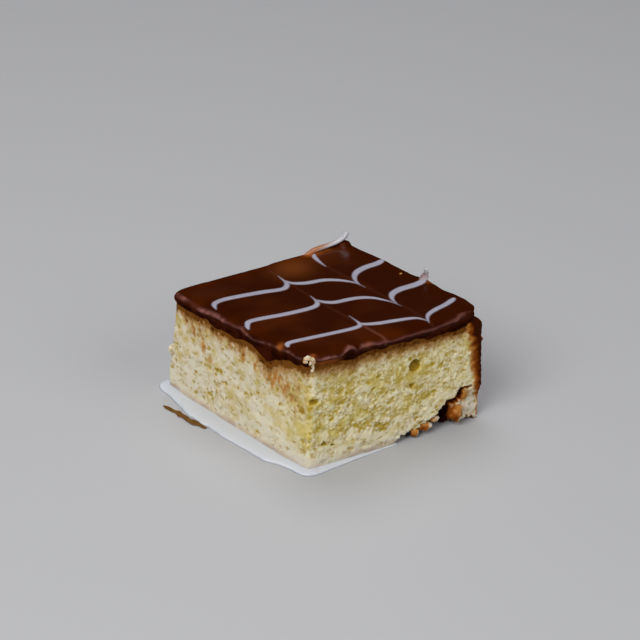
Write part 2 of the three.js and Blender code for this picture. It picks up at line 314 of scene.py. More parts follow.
def blend(tree, factor, first, second):  # a tone is a socket or three screen values
    tones = [tone if isinstance(tone, bpy.types.NodeSocket) else colour(*tone) for tone in (first, second)]
    return addNode(tree, "ShaderNodeMix", {0: factor, 6: tones[0], 7: tones[1]}, data_type="RGBA").outputs[2]


def layered(tree, look, layers):  # each layer's tone is blended over what is there by its share
    for share, tone in layers:
        look = blend(tree, share, look, tone)
    return look


def between(tree, value, low, high, toLow=0.0, toHigh=1.0):  # smoothstep from one range to another
    spread = {"Value": value, "From Min": low, "From Max": high, "To Min": toLow, "To Max": toHigh}
    return addNode(tree, "ShaderNodeMapRange", spread, interpolation_type="SMOOTHSTEP").outputs[0]


def math2(tree, operation, first, second):  # one operation on two values
    return addNode(tree, "ShaderNodeMath", {0: first, 1: second}, operation=operation).outputs[0]


def objectNoise(tree, size, detail):  # noise on the object's own coordinates, size in millimetres
    place = addNode(tree, "ShaderNodeTexCoord", {}).outputs["Object"]
    inputs = {"Vector": place, "Scale": mmPerMetre / size, "Detail": detail, "Roughness": 0.6}
    return addNode(tree, "ShaderNodeTexNoise", inputs).outputs["Fac"]


def newMaterial(name):
    material = bpy.data.materials.new(name)
    material.use_nodes = True
    return material, material.node_tree, material.node_tree.nodes["Principled BSDF"]


def glowInside(weight, radius, depth):  # light that wanders under the surface, depth in millimetres
    return {"Subsurface Weight": weight, "Subsurface Radius": radius, "Subsurface Scale": depth / mmPerMetre}


# Sponge

sponge = {
    "columnsPerSide": [215, 150, 150, 215],
    "columnsPerCorner": 10,
    "rowsUpTheSide": 106,
    "rowsRoundTheEdge": 5,
    "edgeRounding": 1.2,
    "capInsets": [0.7, 1.5, 2.4, 3.4, 5.0, 9.0, 16.0, 24.0],
    "leanSpan": [-0.15, 1.15],  # shares of the height, past both ends so that the sides lean there too
    "relief": 0.6,
    "reliefSize": 6.0,
    "pores": [  # cell, share of cells that hold one, smallest and largest radius
        (3.0, 0.70, 0.75, 1.25),
        (1.7, 0.85, 0.40, 0.80),
    ],
    "bits": [  # raised crumbs, given the same way
        (1.35, 0.80, 0.34, 0.70),
        (0.90, 0.80, 0.26, 0.44),
    ],
    "seeds": {"pores": 0, "bits": 50},
    "ragged": [0.3, 0.9, (0, 31, 67)],  # how far the crumb's points wander, the noise's size and shifts
    "tearWander": 2.4,  # how much further at the edge of the tear
    "grain": 0.35,  # how much the crumb is drawn out along a cut face
    "poreDepth": [0.2, 0.42],  # share of a pore's depth that is open, on smooth and on torn crumb
    "deepestPore": 0.6,
    "bitRise": [0.13, 0.32],
    "tearRelief": [0.08, 0.16],
    "clumpSize": 1.8,
    "crustRise": [([4.0, 4.0, 0.9], 0.2), (0.9, 0.12)],  # size of the noise and its height
    "crustDepth": [5.3, 8.0],  # at the foot and at the top
    "crustSolid": [0.1, 0.5],  # share of it that is brown all through, given the same way
    "crustBands": [([3.0, 3.0, 1.1], 0.8), ([1.2, 1.2, 0.7], 0.7)],
    "footFlare": 1.3,
    "footFlareHeight": 3.2,
    "cornerBite": 1.1,  # lost from the foot of the right corner
    "lipEdge": 0.7,  # the lip's rolled edge reaches this much lower than its hang
    "spans": {  # where things start and end, in millimetres or as shares of the height
        "reliefIn": [0.06, 0.16],
        "reliefOut": [0.72, 0.84],
        "crustDeepens": [6.0, 36.0],
        "crustThickens": [24.0, 36.0],
        "crustFoot": [4.0, 15.0],
        "chunkAcross": [59.0, 62.0],  # the torn chunk at the right corner
        "chunkUp": [11.0, 14.0],
        "frontTear": [2.0, 14.0],  # along the left cut face from the front edge
        "leftCorner": [60.0, 72.0],
        "clearOfFoot": [0.2, 1.6],
        "bitsUp": [4.0, 16.0],
        "biteUp": [8.0, 13.0],
        "soakFront": [2.0, 6.0],
        "soakRight": [36.0, 48.0],
        "wetUp": [1.4, 3.2],
        "wetRight": [30.0, 40.0],
        "paleUp": [2.0, 14.0],
        "paleRight": [25.0, 45.0],
        "palerRight": [44.0, 54.0],
    },
    "zones": {  # soft places: what each is measured along, with middle, spread and power of the bell curve
        "torn": {"x": (24.0, 26.0, 4), "z": (16.0, 13.0, 4)},
        "byTheCrack": {"x": (62.2, 2.2, 2), "z": (9.6, 3.0, 2)},
        "crackFoot": {"x": (63.2, 1.5, 2), "z": (10.2, 1.9, 2)},
        "bitten": {"x": (70.0, 4.5, 2), "y": (0.0, 4.5, 2)},
        "nearFront": {"fromFront": (5.0, 14.0, 2), "z": (17.0, 11.0, 2)},
        "frontFoot": {"fromFront": (0.0, 12.0, 2), "z": (0.0, 5.0, 2)},
        "frontPores": {"fromFront": (0.0, 9.0, 2), "z": (0.0, 6.5, 2)},
        "frontEdge": {"fromFront": (0.0, 9.0, 2)},
        "foot": {"z": (0.0, 8.0, 2)},
        "paleRun": {"x": (2.4, 0.7, 2), "z": (31.5, 3.6, 4)},
        "calm": {"along": (20.0, 20.0, 2), "z": (8.0, 10.0, 2)},
    },
    "tornOut": [  # middle and radii of the hollow under the foot, rising to a crack
        ([42.5, -1.0, 0.0], [8.5, 8.0, 3.4]),
        ([49.5, -1.0, 0.0], [6.0, 9.0, 5.8]),
        ([54.4, -1.0, 3.6], [3.9, 9.0, 5.4]),
        ([57.6, -1.0, 9.2], [3.3, 7.0, 1.9]),
        ([60.8, -1.0, 11.4], [1.4, 5.0, 2.6]),
        ([63.2, -1.0, 13.2], [2.4, 4.0, 1.0]),
        ([61.0, -1.5, -0.6], [8.0, 6.0, 2.4]),
    ],
    "airHoles": [
        ([41.6, 0.2, 27.8], [2.6, 2.8, 2.3]),
        ([40.6, 0.2, 20.9], [1.6, 1.2, 1.3]),
        ([1.4, 0.6, 25.6], [3.4, 1.5, 1.3]),
        ([-8.2, 47.0, 24.3], [1.3, 1.1, 1.0]),
        ([-7.3, 42.0, 14.7], [1.3, 1.1, 1.0]),
        ([6.3, 0.4, 8.9], [1.0, 0.8, 0.8]),
        ([9.4, 0.4, 7.5], [0.9, 0.7, 0.7]),
    ],
    "stains": [  # caramel on the left cut face: along it, up it, their spreads and their strength
        (60.1, 27.6, 1.6, 3.2, 0.95),
        (55.0, 23.6, 1.6, 2.6, 0.95),
        (51.1, 20.0, 1.6, 2.0, 0.6),
        (39.6, 29.4, 1.8, 2.0, 0.6),
        (34.0, 29.6, 2.2, 3.4, 1.0),
        (27.2, 29.2, 1.7, 3.2, 1.0),
        (20.1, 27.6, 2.2, 2.8, 1.0),
        (14.4, 26.0, 2.4, 2.6, 1.0),
        (9.6, 24.0, 1.8, 2.2, 0.9),
        (6.7, 29.3, 1.6, 2.2, 0.6),
        (17.0, 28.0, 9.0, 6.0, 0.9),
        (8.0, 22.0, 6.0, 7.0, 0.35),
        (34.0, 30.0, 8.0, 4.0, 0.4),
        (58.0, 28.0, 6.0, 5.0, 0.4),
    ],
    "tones": {  # screen colours
        "pale": [(223, 215, 195), (237, 228, 191)],  # plain and yellow crumb
        "rich": [(205, 185, 122), (215, 197, 120)],
        # the pores' tones are painted shade in the crumb's hollows, deepest in deep pores and air holes
        "pores": [(174, 149, 55), (183, 156, 52)],
        "deepPoreShade": (149, 119, 22),
        "stainEdge": [(196, 162, 102), (158, 124, 54)],  # open crumb and pores
        "stain": [(184, 122, 52), (140, 80, 12)],
        "soaked": [(182, 140, 84), (142, 98, 36)],
        "sodden": [(116, 70, 20), (78, 38, 4)],
        "wet": (186, 167, 150),
        "golden": (182, 122, 50),
        "browned": (128, 62, 8),
        "burnt": (58, 20, 1),
    },
}


def ballsAt(points, normals, cell, share, smallest, largest, seed):
    # balls in the crumb: how far into one a point lies, from 0 at its skin to 1 in its middle, and the way
    # from there along the inward normal to its far wall
    within = np.zeros(points.shape[:-1])
    depth = np.zeros(points.shape[:-1])
    for away, draw in neighbours(points, cell, seed):
        radius = np.where(draw < share, mix(smallest, largest, (draw / share) ** 2), 0.01)
        above = (away * normals).sum(-1)
        square = (away ** 2).sum(-1)
        wall = above + np.sqrt(np.maximum(above ** 2 + radius ** 2 - square, 0))
        within = np.maximum(within, 1 - np.sqrt(square) / radius)
        depth = np.maximum(depth, np.where(square < radius ** 2, wall, 0))
    return within, depth


def manyBalls(points, normals, kind):  # the furthest in and the deepest of a kind's several sizes
    seed = sponge["seeds"][kind]
    found = [ballsAt(points, normals, *size, seed + 10 * n) for n, size in enumerate(sponge[kind])]
    return np.max([within for within, _ in found], axis=0), np.max([depth for _, depth in found], axis=0)


def hollowDepth(points, normals, hollows):
    # balls stretched to three radii: from a point in one, the way along the inward normal to its far wall
    depth = np.zeros(points.shape[:-1])
    for middle, radii in hollows:
        away = (points - np.array(middle)) / np.array(radii)
        inward = -normals / np.array(radii)
        a = (inward ** 2).sum(-1)
        b = (away * inward).sum(-1)
        c = (away ** 2).sum(-1) - 1
        wall = (np.sqrt(np.maximum(b * b - a * c, 0)) - b) / a
        depth = np.maximum(depth, np.where(c < 0, wall, 0))
    return depth


def spongeBlock():
    # rings up the leaning sides, round the top edge by a quarter circle, and in over the top
    turn = np.linspace(0, np.pi / 2, sponge["rowsRoundTheEdge"] + 1)[1:]
    caps = np.array(sponge["capInsets"])
    rounding = sponge["edgeRounding"]
    up = np.linspace(0, 1, sponge["rowsUpTheSide"])
    share = np.concatenate([up, np.ones(len(turn) + len(caps))])
    lift = np.concatenate([0 * up, rounding * np.sin(turn), 0 * caps + rounding])
    inset = np.concatenate([0 * up, rounding * (1 - np.cos(turn)), rounding + caps])
    tilt = np.concatenate([0 * up, turn, 0 * caps + np.pi / 2])
    leaning = smoothstep(share, *sponge["leanSpan"])[:, None]
    corners = footCorners + leaning[..., None] * (spongeTop - footCorners)
    radii = np.array(cake["footRadius"]) * (1 - leaning) + np.array(cake["topRadius"]) * leaning
    radii = np.maximum(radii - inset[:, None], cake["smallestRadius"])
    rings = moveSides(corners, inset[:, None])
    flat = outline(rings, radii, sponge["columnsPerSide"], sponge["columnsPerCorner"])
    outwards = outOfRings(flat) * np.cos(tilt)[:, None, None]
    normals = withHeight(outwards, np.sin(tilt)[:, None] + 0 * flat[..., 0])
    panNormal = quarterTurn(unit(corners[:, 2] - corners[:, 1]))
    fromPan = ((flat - corners[:, None, 1]) * panNormal[:, None]).sum(-1)
    panEdge = cake["panEdgeDrop"] * fade(fromPan, *cake["panEdgeSpan"])
    top = glazeHeight(flat) - cake["glazeThickness"] - panEdge
    points = withHeight(flat, share[:, None] * (top - rounding) + lift[:, None])
    return points, normals, share[:, None], fromPan


def placesOf(points):  # x, y, z, the way along the left cut face, and how far from the front edge
    x, y, z = (points[..., n] for n in range(3))
    along = x * leftFaceWay[0] + y * leftFaceWay[1]
    return SimpleNamespace(x=x, y=y, z=z, along=along, fromFront=np.hypot(x, y))


def zone(at, name):  # e to the minus sum of each way from its middle, over its spread, to its power
    total = 0.0
    for key, (middle, spread, power) in sponge["zones"][name].items():
        total = total + ((getattr(at, key) - middle) / spread) ** power
    return np.exp(-total)


def facesOf(normals, at):
    # how fully a point lies on each face and on the chunk: its normal against the way out, by smoothstep
    spans = sponge["spans"]
    right = smoothstep(-normals[..., 1], 0.2, 0.9)
    return SimpleNamespace(
        right=right,
        left=smoothstep(normals[..., :2] @ outOfLeft, 0.75, 0.97),
        top=smoothstep(normals[..., 2], 0.3, 0.9),
        pan=smoothstep(normals[..., 0], 0.9, 0.99),
        chunk=right * smoothstep(at.x, *spans["chunkAcross"]) * fade(at.z, *spans["chunkUp"]),
    )


def browning(points, at, on, fromPan):
    # from 1 at the pan side to 0 at the crust's depth, wavering in bands, less at the foot and in patches;
    # the chunk has a scorch of its own, most beside the crack
    spans = sponge["spans"]
    depth = mix(*sponge["crustDepth"], smoothstep(at.z, *spans["crustDeepens"]))
    solid = mix(*sponge["crustSolid"], smoothstep(at.z, *spans["crustThickens"]))
    bands = sum(height * smoothNoise(points, size) for size, height in sponge["crustBands"])
    browned = fade(((fromPan + bands) / depth - solid) / (1 - solid), 0, 1)
    browned *= 1 - fade(at.z, *spans["crustFoot"]) * (0.3 + 0.6 * on.right)
    patchy = 0.3 * smoothNoise(points, 9.0) + 0.16 * roughNoise(points, [4.0, 4.0, 2.4], 4)
    browned *= 1 - on.pan * np.clip(0.3 - patchy, 0, 0.7)
    browned *= 1 - 0.1 * smoothstep(smoothNoise(points, [2.4, 2.4, 1.6], 4), 0.0, 0.6)
    scorched = 0.12 + 0.12 * smoothNoise(points, [2.6, 2.6, 1.8], 2) - 0.02 * (at.x - 64)
    scorched = on.chunk * np.clip(scorched + 0.2 * zone(at, "byTheCrack"), 0, 0.36)
    return np.maximum(np.maximum(browned, scorched), 0.9 * on.top)


def crumbTexture(points, normals, at, on):
    # pores and bits are scattered over points that wander by noise and are drawn together along the cut
    # faces, so that they come out longer that way
    torn = on.right * np.maximum(0.6 + 0.4 * zone(at, "torn"), on.chunk)
    coarse = np.maximum(torn, 0.35 * on.left * fade(at.along, *sponge["spans"]["frontTear"]))
    ragged = points + jitter(points, *sponge["ragged"])
    faceWay = atLevel(on.right[..., None] * np.array([1.0, 0.0]) + on.left[..., None] * leftFaceWay)
    drawn = ragged - sponge["grain"] * (ragged * faceWay).sum(-1)[..., None] * faceWay
    pores, depth = manyBalls(drawn, normals, "pores")
    crowded = smoothstep(smoothNoise(points, 7.0, 3), -0.7, 0.5)
    return SimpleNamespace(
        coarse=coarse,
        ragged=ragged,
        drawn=drawn,
        crowded=crowded,
        pores=pores,
        poreDepth=depth * (0.4 + 0.6 * crowded),
        bits=smoothstep(manyBalls(drawn, normals, "bits")[0], 0.0, 0.6),
        clumps=roughNoise(drawn, sponge["clumpSize"], 3),
    )


def spongeRelief(points, normals, share, at, on, crust, crumb):
    # along the normal: swells, the flared foot, bits, clumps and crust, less pores, holes and the bite; how
    # deep the tear and the air holes go comes with it
    spans = sponge["spans"]
    size = sponge["reliefSize"]
    swell = sponge["relief"] * (0.65 * smoothNoise(points, size) + 0.35 * smoothNoise(points, size / 2.3))
    swell *= smoothstep(share, *spans["reliefIn"]) * fade(share, *spans["reliefOut"])
    flare = sponge["footFlare"] * np.clip(1 - at.z / sponge["footFlareHeight"], 0, 1) ** 1.5
    flare *= on.left * smoothstep(at.along, *spans["frontTear"]) * fade(at.along, *spans["leftCorner"])
    rise = mix(*sponge["bitRise"], crumb.coarse) * crumb.bits
    rise += mix(*sponge["tearRelief"], crumb.coarse) * crumb.clumps
    rise *= 0.5 + 0.5 * smoothstep(at.z, *spans["bitsUp"])
    clearOfFoot = smoothstep(at.z, *spans["clearOfFoot"])
    bare = clearOfFoot * (1 - crust)
    crustRise = sum(height * smoothNoise(points, size) for size, height in sponge["crustRise"])
    pits = mix(*sponge["poreDepth"], crumb.coarse) * crumb.poreDepth
    pits = bare * np.minimum(pits, sponge["deepestPore"])
    holes = hollowDepth(crumb.ragged, normals, sponge["airHoles"])
    out = swell + flare + bare * rise + clearOfFoot * crust * crustRise - np.maximum(pits, holes)
    out += on.chunk * (0.45 * roughNoise(points, 2.6, 3) - 0.5)
    out -= sponge["cornerBite"] * fade(at.z, *spans["biteUp"]) * zone(at, "bitten")
    torn = hollowDepth(points + sponge["tearWander"] * (crumb.ragged - points), normals, sponge["tornOut"])
    return np.where(torn > 0, -torn, out), torn, holes


def soakUnderLip(points, at, on, crumb):
    # dies away by e below the lip's edge: strongly over an uneven reach, weakly over a longer one
    spans = sponge["spans"]
    flat = points[..., :2]
    below = np.maximum(glazeHeight(flat) - lipHang(flat) - at.z - sponge["lipEdge"], 0)
    uneven = 0.5 + 0.4 * smoothNoise(points, [4.0, 4.0, 5.0]) + 0.4 * smoothNoise(points, [1.5, 1.5, 5.0], 6)
    reach = 0.9 + (1.4 + 0.9 * on.left) * np.maximum(uneven, 0)
    shorter = 1 - 0.7 * smoothstep(at.x, *spans["soakRight"])
    reach += 1.4 * on.right * smoothstep(at.x, *spans["soakFront"]) * shorter
    soak = (1.1 + 0.3 * on.left) * np.exp(-below / reach) + (0.2 + 0.18 * on.left) * np.exp(-below / 6)
    soak *= 0.9 + (0.16 + 0.16 * on.left) * smoothNoise(points, 1.1) - (0.16 + 0.14 * on.left) * crumb.bits
    return np.clip(soak, 0, 1)


def caramelStain(points, at, on):
    # the strongest of the listed bell curves, broken up by upright streaks of noise
    stain = np.zeros(at.z.shape)
    for place, height, spread, rise, strength in sponge["stains"]:
        stain = np.maximum(stain, strength * bell(at.along - place, spread) * bell(at.z - height, rise))
    streaky = smoothNoise(points, [1.2, 1.2, 3.0]) + 0.5 * smoothNoise(points, 0.8)
    return np.clip(stain * on.left * (0.36 + 0.64 * smoothstep(streaky, -0.4, 0.5)), 0, 1)


def wetFoot(points, at):  # up to a wavering height, in patches, less at the front edge and beyond the milk
    spans = sponge["spans"]
    wet = fade(at.z + 0.4 * smoothNoise(points, 3.0), *spans["wetUp"]) * fade(at.x, *spans["wetRight"])
    wet *= 1 - 0.8 * zone(at, "frontEdge")
    return wet * (0.55 + 0.45 * smoothstep(smoothNoise(points, 3.4, 6), -0.5, 0.4))


def crumbTints(points, at, on, crumb, holes):
    # olive: the crumb's own tone varied by noise, with painted shade in pores and holes and less of it on
    # bits and clumps; golden: noise of two sizes; yellow: by the face; all three less where the crumb is pale
    spans = sponge["spans"]
    nearFront = zone(at, "nearFront")
    pale = zone(at, "frontFoot") + on.right * (zone(at, "foot") + zone(at, "paleRun"))
    yellow = 0.2 + 0.8 * on.right + 0.7 * nearFront - 0.8 * on.chunk - 0.6 * pale
    # painted shade in the pores
    poreShade = smoothstep(crumb.pores, -0.12, 0.56) * (0.6 + 0.4 * crumb.crowded) * (1 - 0.45 * crumb.coarse)
    poreShade *= (1 - 0.5 * on.left * zone(at, "calm")) * (0.9 + 0.4 * smoothNoise(points, 2.1, 3))
    poreShade *= 1 - 0.85 * zone(at, "frontPores")
    olive = 1.15 * poreShade - (0.15 + 0.42 * crumb.coarse) * crumb.bits - 0.5 * crumb.coarse * crumb.clumps
    olive += (0.25 + 0.2 * on.left) * smoothNoise(crumb.drawn, 1.2, 7)
    # painted shade on the chunk at the foot of the crack
    olive += on.chunk * (0.9 * zone(at, "crackFoot") - 0.3)
    # its last term is painted shade deep in the air holes
    olive += 0.06 + 0.44 * crumb.coarse - 0.4 * pale + 1.5 * smoothstep(holes, 0.1, 1.0)
    golden = 0.45 + (0.7 + 0.3 * on.right) * smoothNoise(points, 2.2, 5) + 0.55 * smoothNoise(points, 5.0, 9)
    golden += 0.3 * nearFront - 0.6 * pale - 0.5 * on.chunk - 0.3 * crumb.coarse * crumb.bits
    golden -= 0.45 * fade(at.z, *spans["paleUp"]) * fade(at.x, *spans["paleRight"])
    golden -= on.right * (0.12 + 0.3 * smoothstep(at.x, *spans["palerRight"]))
    golden -= on.left * (0.2 + 0.3 * smoothNoise(crumb.drawn, 1.1, 2))
    yellow, golden = np.clip(yellow, 0, 1), np.clip(golden, 0, 1)
    return {"olive": np.clip(olive, -0.2, 1.8), "golden": golden, "yellow": yellow}


def makeSponge(material):
    # the block's points moved along their normals; the tints are read where they end up
    points, normals, share, fromPan = spongeBlock()
    at = placesOf(points)
    on = facesOf(normals, at)
    toast = browning(points, at, on, fromPan)
    crust = np.maximum(smoothstep(toast, 0.55, 0.95), on.pan)
    crumb = crumbTexture(points, normals, at, on)
    out, torn, holes = spongeRelief(points, normals, share, at, on, crust, crumb)
    points = points + normals * out[..., None]
    tints = crumbTints(points, at, on, crumb, holes) | {
        # inside the torn hollow the crumb is browned as bottom crust and darkened further as painted shade
        "toast": np.maximum(toast, 0.95 * smoothstep(torn, 0.2, 1.8)),
        "soak": soakUnderLip(points, at, on, crumb),
        "stain": caramelStain(points, at, on),
        "wet": wetFoot(points, at),
    }
    corners, faces = closedRings(points)
    attributes = {key: np.append(values, [0, 0]) for key, values in tints.items()}
    piece = makePiece("sponge_crumb", corners, faces, material, attributes)
    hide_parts("sponge")


def crumbMaterial():
    # tones laid over one another: crumb by its yellow, gold and painted pore shade, then stain, soak, wet
    # foot and crust
    material, tree, shader = newMaterial("soaked crumb")
    tones = sponge["tones"]
    keys = ("yellow", "stain", "soak", "wet", "toast")
    yellow, stain, soak, wet, toast = (attributeOf(tree, key) for key in keys)
    fine = objectNoise(tree, 1.0, 3.0)
    olive = math2(tree, "ADD", attributeOf(tree, "olive"), between(tree, fine, 0.3, 0.7, 0.3, -0.3))
    inPores = between(tree, olive, 0.0, 1.1)
    pale, rich, pores = (blend(tree, yellow, *tones[key]) for key in ("pale", "rich", "pores"))
    stainEdge, stainCore, soaked, sodden = (
        blend(tree, inPores, *tones[key]) for key in ("stainEdge", "stain", "soaked", "sodden")
    )
    look = layered(tree, pale, [
        (attributeOf(tree, "golden"), rich),
        # painted shade in pores, deepest in the deep pores and air holes
        (inPores, pores),
        (between(tree, olive, 1.0, 1.7), tones["deepPoreShade"]),
        (between(tree, stain, 0.0, 0.5), stainEdge),
        (between(tree, stain, 0.28, 0.8), stainCore),
        (between(tree, soak, 0.08, 0.6), soaked),
        (between(tree, soak, 0.4, 1.0), sodden),
        (wet, tones["wet"]),
        # browning, which inside the torn hollow is partly painted shade
        (between(tree, toast, 0.08, 0.4), tones["golden"]),
        (between(tree, toast, 0.3, 0.7), tones["browned"]),
        (between(tree, toast, 0.65, 1.0), tones["burnt"]),
    ])
    grit = {"Strength": 0.35, "Distance": 0.3 / mmPerMetre, "Height": objectNoise(tree, 0.8, 2.0)}
    dark = math2(tree, "MAXIMUM", toast, soak)
    setInputs(tree, shader, {
        "Base Color": look,
        "Roughness": between(tree, wet, 0.0, 1.0, 0.78, 0.35),
        "Specular IOR Level": between(tree, dark, 0.3, 0.8, 0.2, 0.03),
        "Normal": addNode(tree, "ShaderNodeBump", grit).outputs[0],
        **glowInside(0.25, (1.0, 0.6, 0.25), 1.5),
    })
    return material


# Glaze and its icing

glaze = {
    "cellsAcross": 216,
    "cornerColumns": 8,
    "shoulderReach": 2.6,
    "shoulderDrop": 1.9,
    "rollRadius": 0.5,
    "tuckIn": 0.7,  # how far the lip falls back towards the sponge at its lower edge
    "lipRows": [14, 12, 8],  # on the shoulder, the flank and the roll
    "smoothRows": 7,  # the last rows, without lumps
    "tuck": [  # under the lip: way in from the rim, drop, share of the hang
        [2.6, -1.0, 1.0],
        [5.0, 3.3, 0.0],
        [14.0, 3.3, 0.0],
        [26.0, 3.3, 0.0],
    ],
    "lipDepth": 4.4,
    "lipWave": 0.9,
    "lipWaveLength": 8.0,
    "lipFray": 0.5,
    "lipFraySize": 2.6,
    "lipOnRight": [  # place along the face and how far the lip hangs there
        (2.0, 3.9), (9.5, 4.3), (12.0, 4.5), (17.0, 5.0), (19.5, 4.4), (24.5, 3.6), (28.0, 4.3),
        (33.0, 3.9), (37.0, 4.1), (42.0, 4.4), (47.0, 5.8), (52.0, 5.3), (57.0, 6.1), (60.0, 5.8),
        (64.0, 4.4),
    ],
    "lipOnLeft": [
        (2.0, 4.3), (6.5, 5.5), (9.0, 5.8), (11.5, 5.5), (14.0, 5.8), (16.5, 6.8), (19.0, 8.5),
        (21.5, 9.7), (24.0, 8.6), (26.5, 6.9), (29.0, 5.4), (34.0, 5.1), (38.0, 6.3), (41.5, 5.6),
        (49.0, 5.5), (51.5, 4.3), (54.0, 3.9), (61.5, 4.2), (68.0, 4.2), (72.0, 4.6),
    ],
    "amber": [  # thin warm places: middle, spread and strength
        (43.5, 70.6, 2.8, 0.9),
        (46.5, 70.6, 2.2, 1.0),
        (49.5, 71.0, 2.2, 0.9),
        (-2.6, 14.2, 1.3, 0.55),
        (22.4, 0.2, 1.4, 0.1),
        (65.0, 27.4, 1.6, 0.3),
        (2.0, 1.4, 1.0, 0.42),
        (32.0, 63.0, 7.0, 0.22),
    ],
    "thinLip": 0.46,  # amber of the thin lip beside the front corner
    "lumps": 0.42,
    "ripple": 0.1,
    "rimBead": [0.4, 0.0, 0.05, 0.45],  # height of the rolled rim on each side
    "rimIn": 1.0,
    "rimWidth": 0.45,
    "highlightDrop": 1.1,  # how far below the rim its painted highlight spreads most
    # strength of the rim's painted highlight, a mauve sheen painted into the colour
    "rimHighlightStrength": 0.62,
    "highlightDownLip": {0: 0.13, 3: 0.06},  # how much of its painted highlight spreads down the lip
    "rimLine": {  # place along the right and left face, how far below the top the rim runs, how strong its painted highlight is
        0: [
            (0, 1.6, 0.3), (3.4, 1.8, 0.6), (5.0, 1.9, 1.1), (6.3, 1.9, 1.5), (7.6, 1.7, 0.9),
            (9.4, 1.6, 1.0), (10.6, 2.0, 0.3), (11.6, 1.9, 0.5), (12.6, 1.2, 0.95), (14.3, 0.6, 1.1),
            (16, 0.9, 0.9), (17.2, 1.7, 0.6), (18.2, 1.5, 0.05), (20, 0.7, 0.86), (22.4, 0.9, 0.83),
            (25, 1.4, 0.6), (29, 1.4, 0.53), (31.7, 2.0, 0.45), (34, 1.9, 0.63), (36.5, 1.6, 0.5),
            (39, 2.1, 0.64), (43.6, 1.8, 0.53), (48.5, 2.2, 0.6), (51, 2.1, 0.6), (53.3, 1.5, 0.68),
            (57, 1.1, 0.55), (60.6, 0.5, 0.56), (62.6, 0.4, 0.1),
        ],
        3: [
            (0, 1.6, 0.3), (6, 1.9, 0.4), (8.9, 1.9, 0.45), (11.8, 1.7, 0.3), (14.8, 1.5, 0.3),
            (17.7, 2.2, 0.26), (20.7, 2.4, 0.26), (23.7, 2.4, 0.36), (26.7, 2.6, 0.44),
            (29.7, 1.6, 0.7), (32.8, 1.0, 0.58), (36, 1.4, 0.32), (39, 1.3, 0.35), (41.4, 1.5, 0.4),
            (42.4, 1.2, 0.9), (43.8, 1.0, 0.35), (45.6, 0.9, 0.6), (47, 0.9, 1.0), (48.4, 0.9, 0.5),
            (49.8, 0.9, 1.2), (51.2, 0.9, 0.8), (52.4, 0.9, 1.6), (53.6, 0.9, 0.9), (54.8, 0.8, 0.35),
            (56.4, 0.7, 0.12), (61, 0.3, 0.1), (63.6, 0.3, 0.6), (66, 0.3, 0.15), (70, 0.2, 0.1),
        ],
    },
    "knobs": [  # lumps on the rim: place, radius, height
        (14.6, 0.4, 3.1, 1.4),
        (6.3, 0.0, 1.6, 0.5),
        (24.0, 0.8, 1.8, 0.3),
        (-6.2, 33.0, 1.8, 0.4),
        (-9.4, 51.0, 3.4, 0.6),
        (57.2, 69.4, 2.4, 1.2),
    ],
    "panRunOut": [  # place along the pan side, and how far the glaze ran out over it
        (-2.0, -1.9), (2.5, -0.9), (5.0, 1.2), (10.0, 2.1), (20.0, 1.5), (27.0, 1.9), (31.0, 2.2),
        (36.0, 1.0), (50.0, 1.2), (60.0, 0.2), (74.0, 0.0),
    ],
    "panRunWidth": 12.0,
    "spans": {  # where things start and end, in millimetres of way or of fall below the top
        "cornerTurn": [-1.5, 1.5],  # from the right face's list of the lip to the left one's
        "pastLists": [4.0, 9.0],
        "sideTurn": [-0.5, 1.0],
        "rimLane": [1.2, 2.2],
        "underRim": [0.3, 0.9],
        "rollsOver": [0.2, 1.2],
        "knobFoot": [1.5, 3.5],
        "reliefFoot": [2.5, 3.2],
        "paleFoot": [3.2, 4.4],
        "amberFoot": [1.8, 3.2],
        "thinFrom": [2.2, 3.2],
        "thinRight": [8.0, 14.0],
        "thinFront": [1.0, 3.0],
        "thinBack": [2.0, 4.0],
        "lipFall": [0.0, 2.6],
        "dullFrame": [1.0, 10.0],
    },
    "tones": {
        "dark": [(50, 16, 2), (69, 26, 4)],
        # darker than the top's tones: painted shade down the lip's flank
        "lip": [(36, 10, 3), (60, 22, 8)],
        # painted highlight: the mauve sheen of the rolled rim
        "rim": (151, 100, 93),
        "amber": (178, 98, 42),
        "trail": (138, 84, 72),
        # the icing's white with a lavender tint, painted as a reflection of cool light
        "icing": [(149, 146, 163), (170, 169, 184)],
    },
}

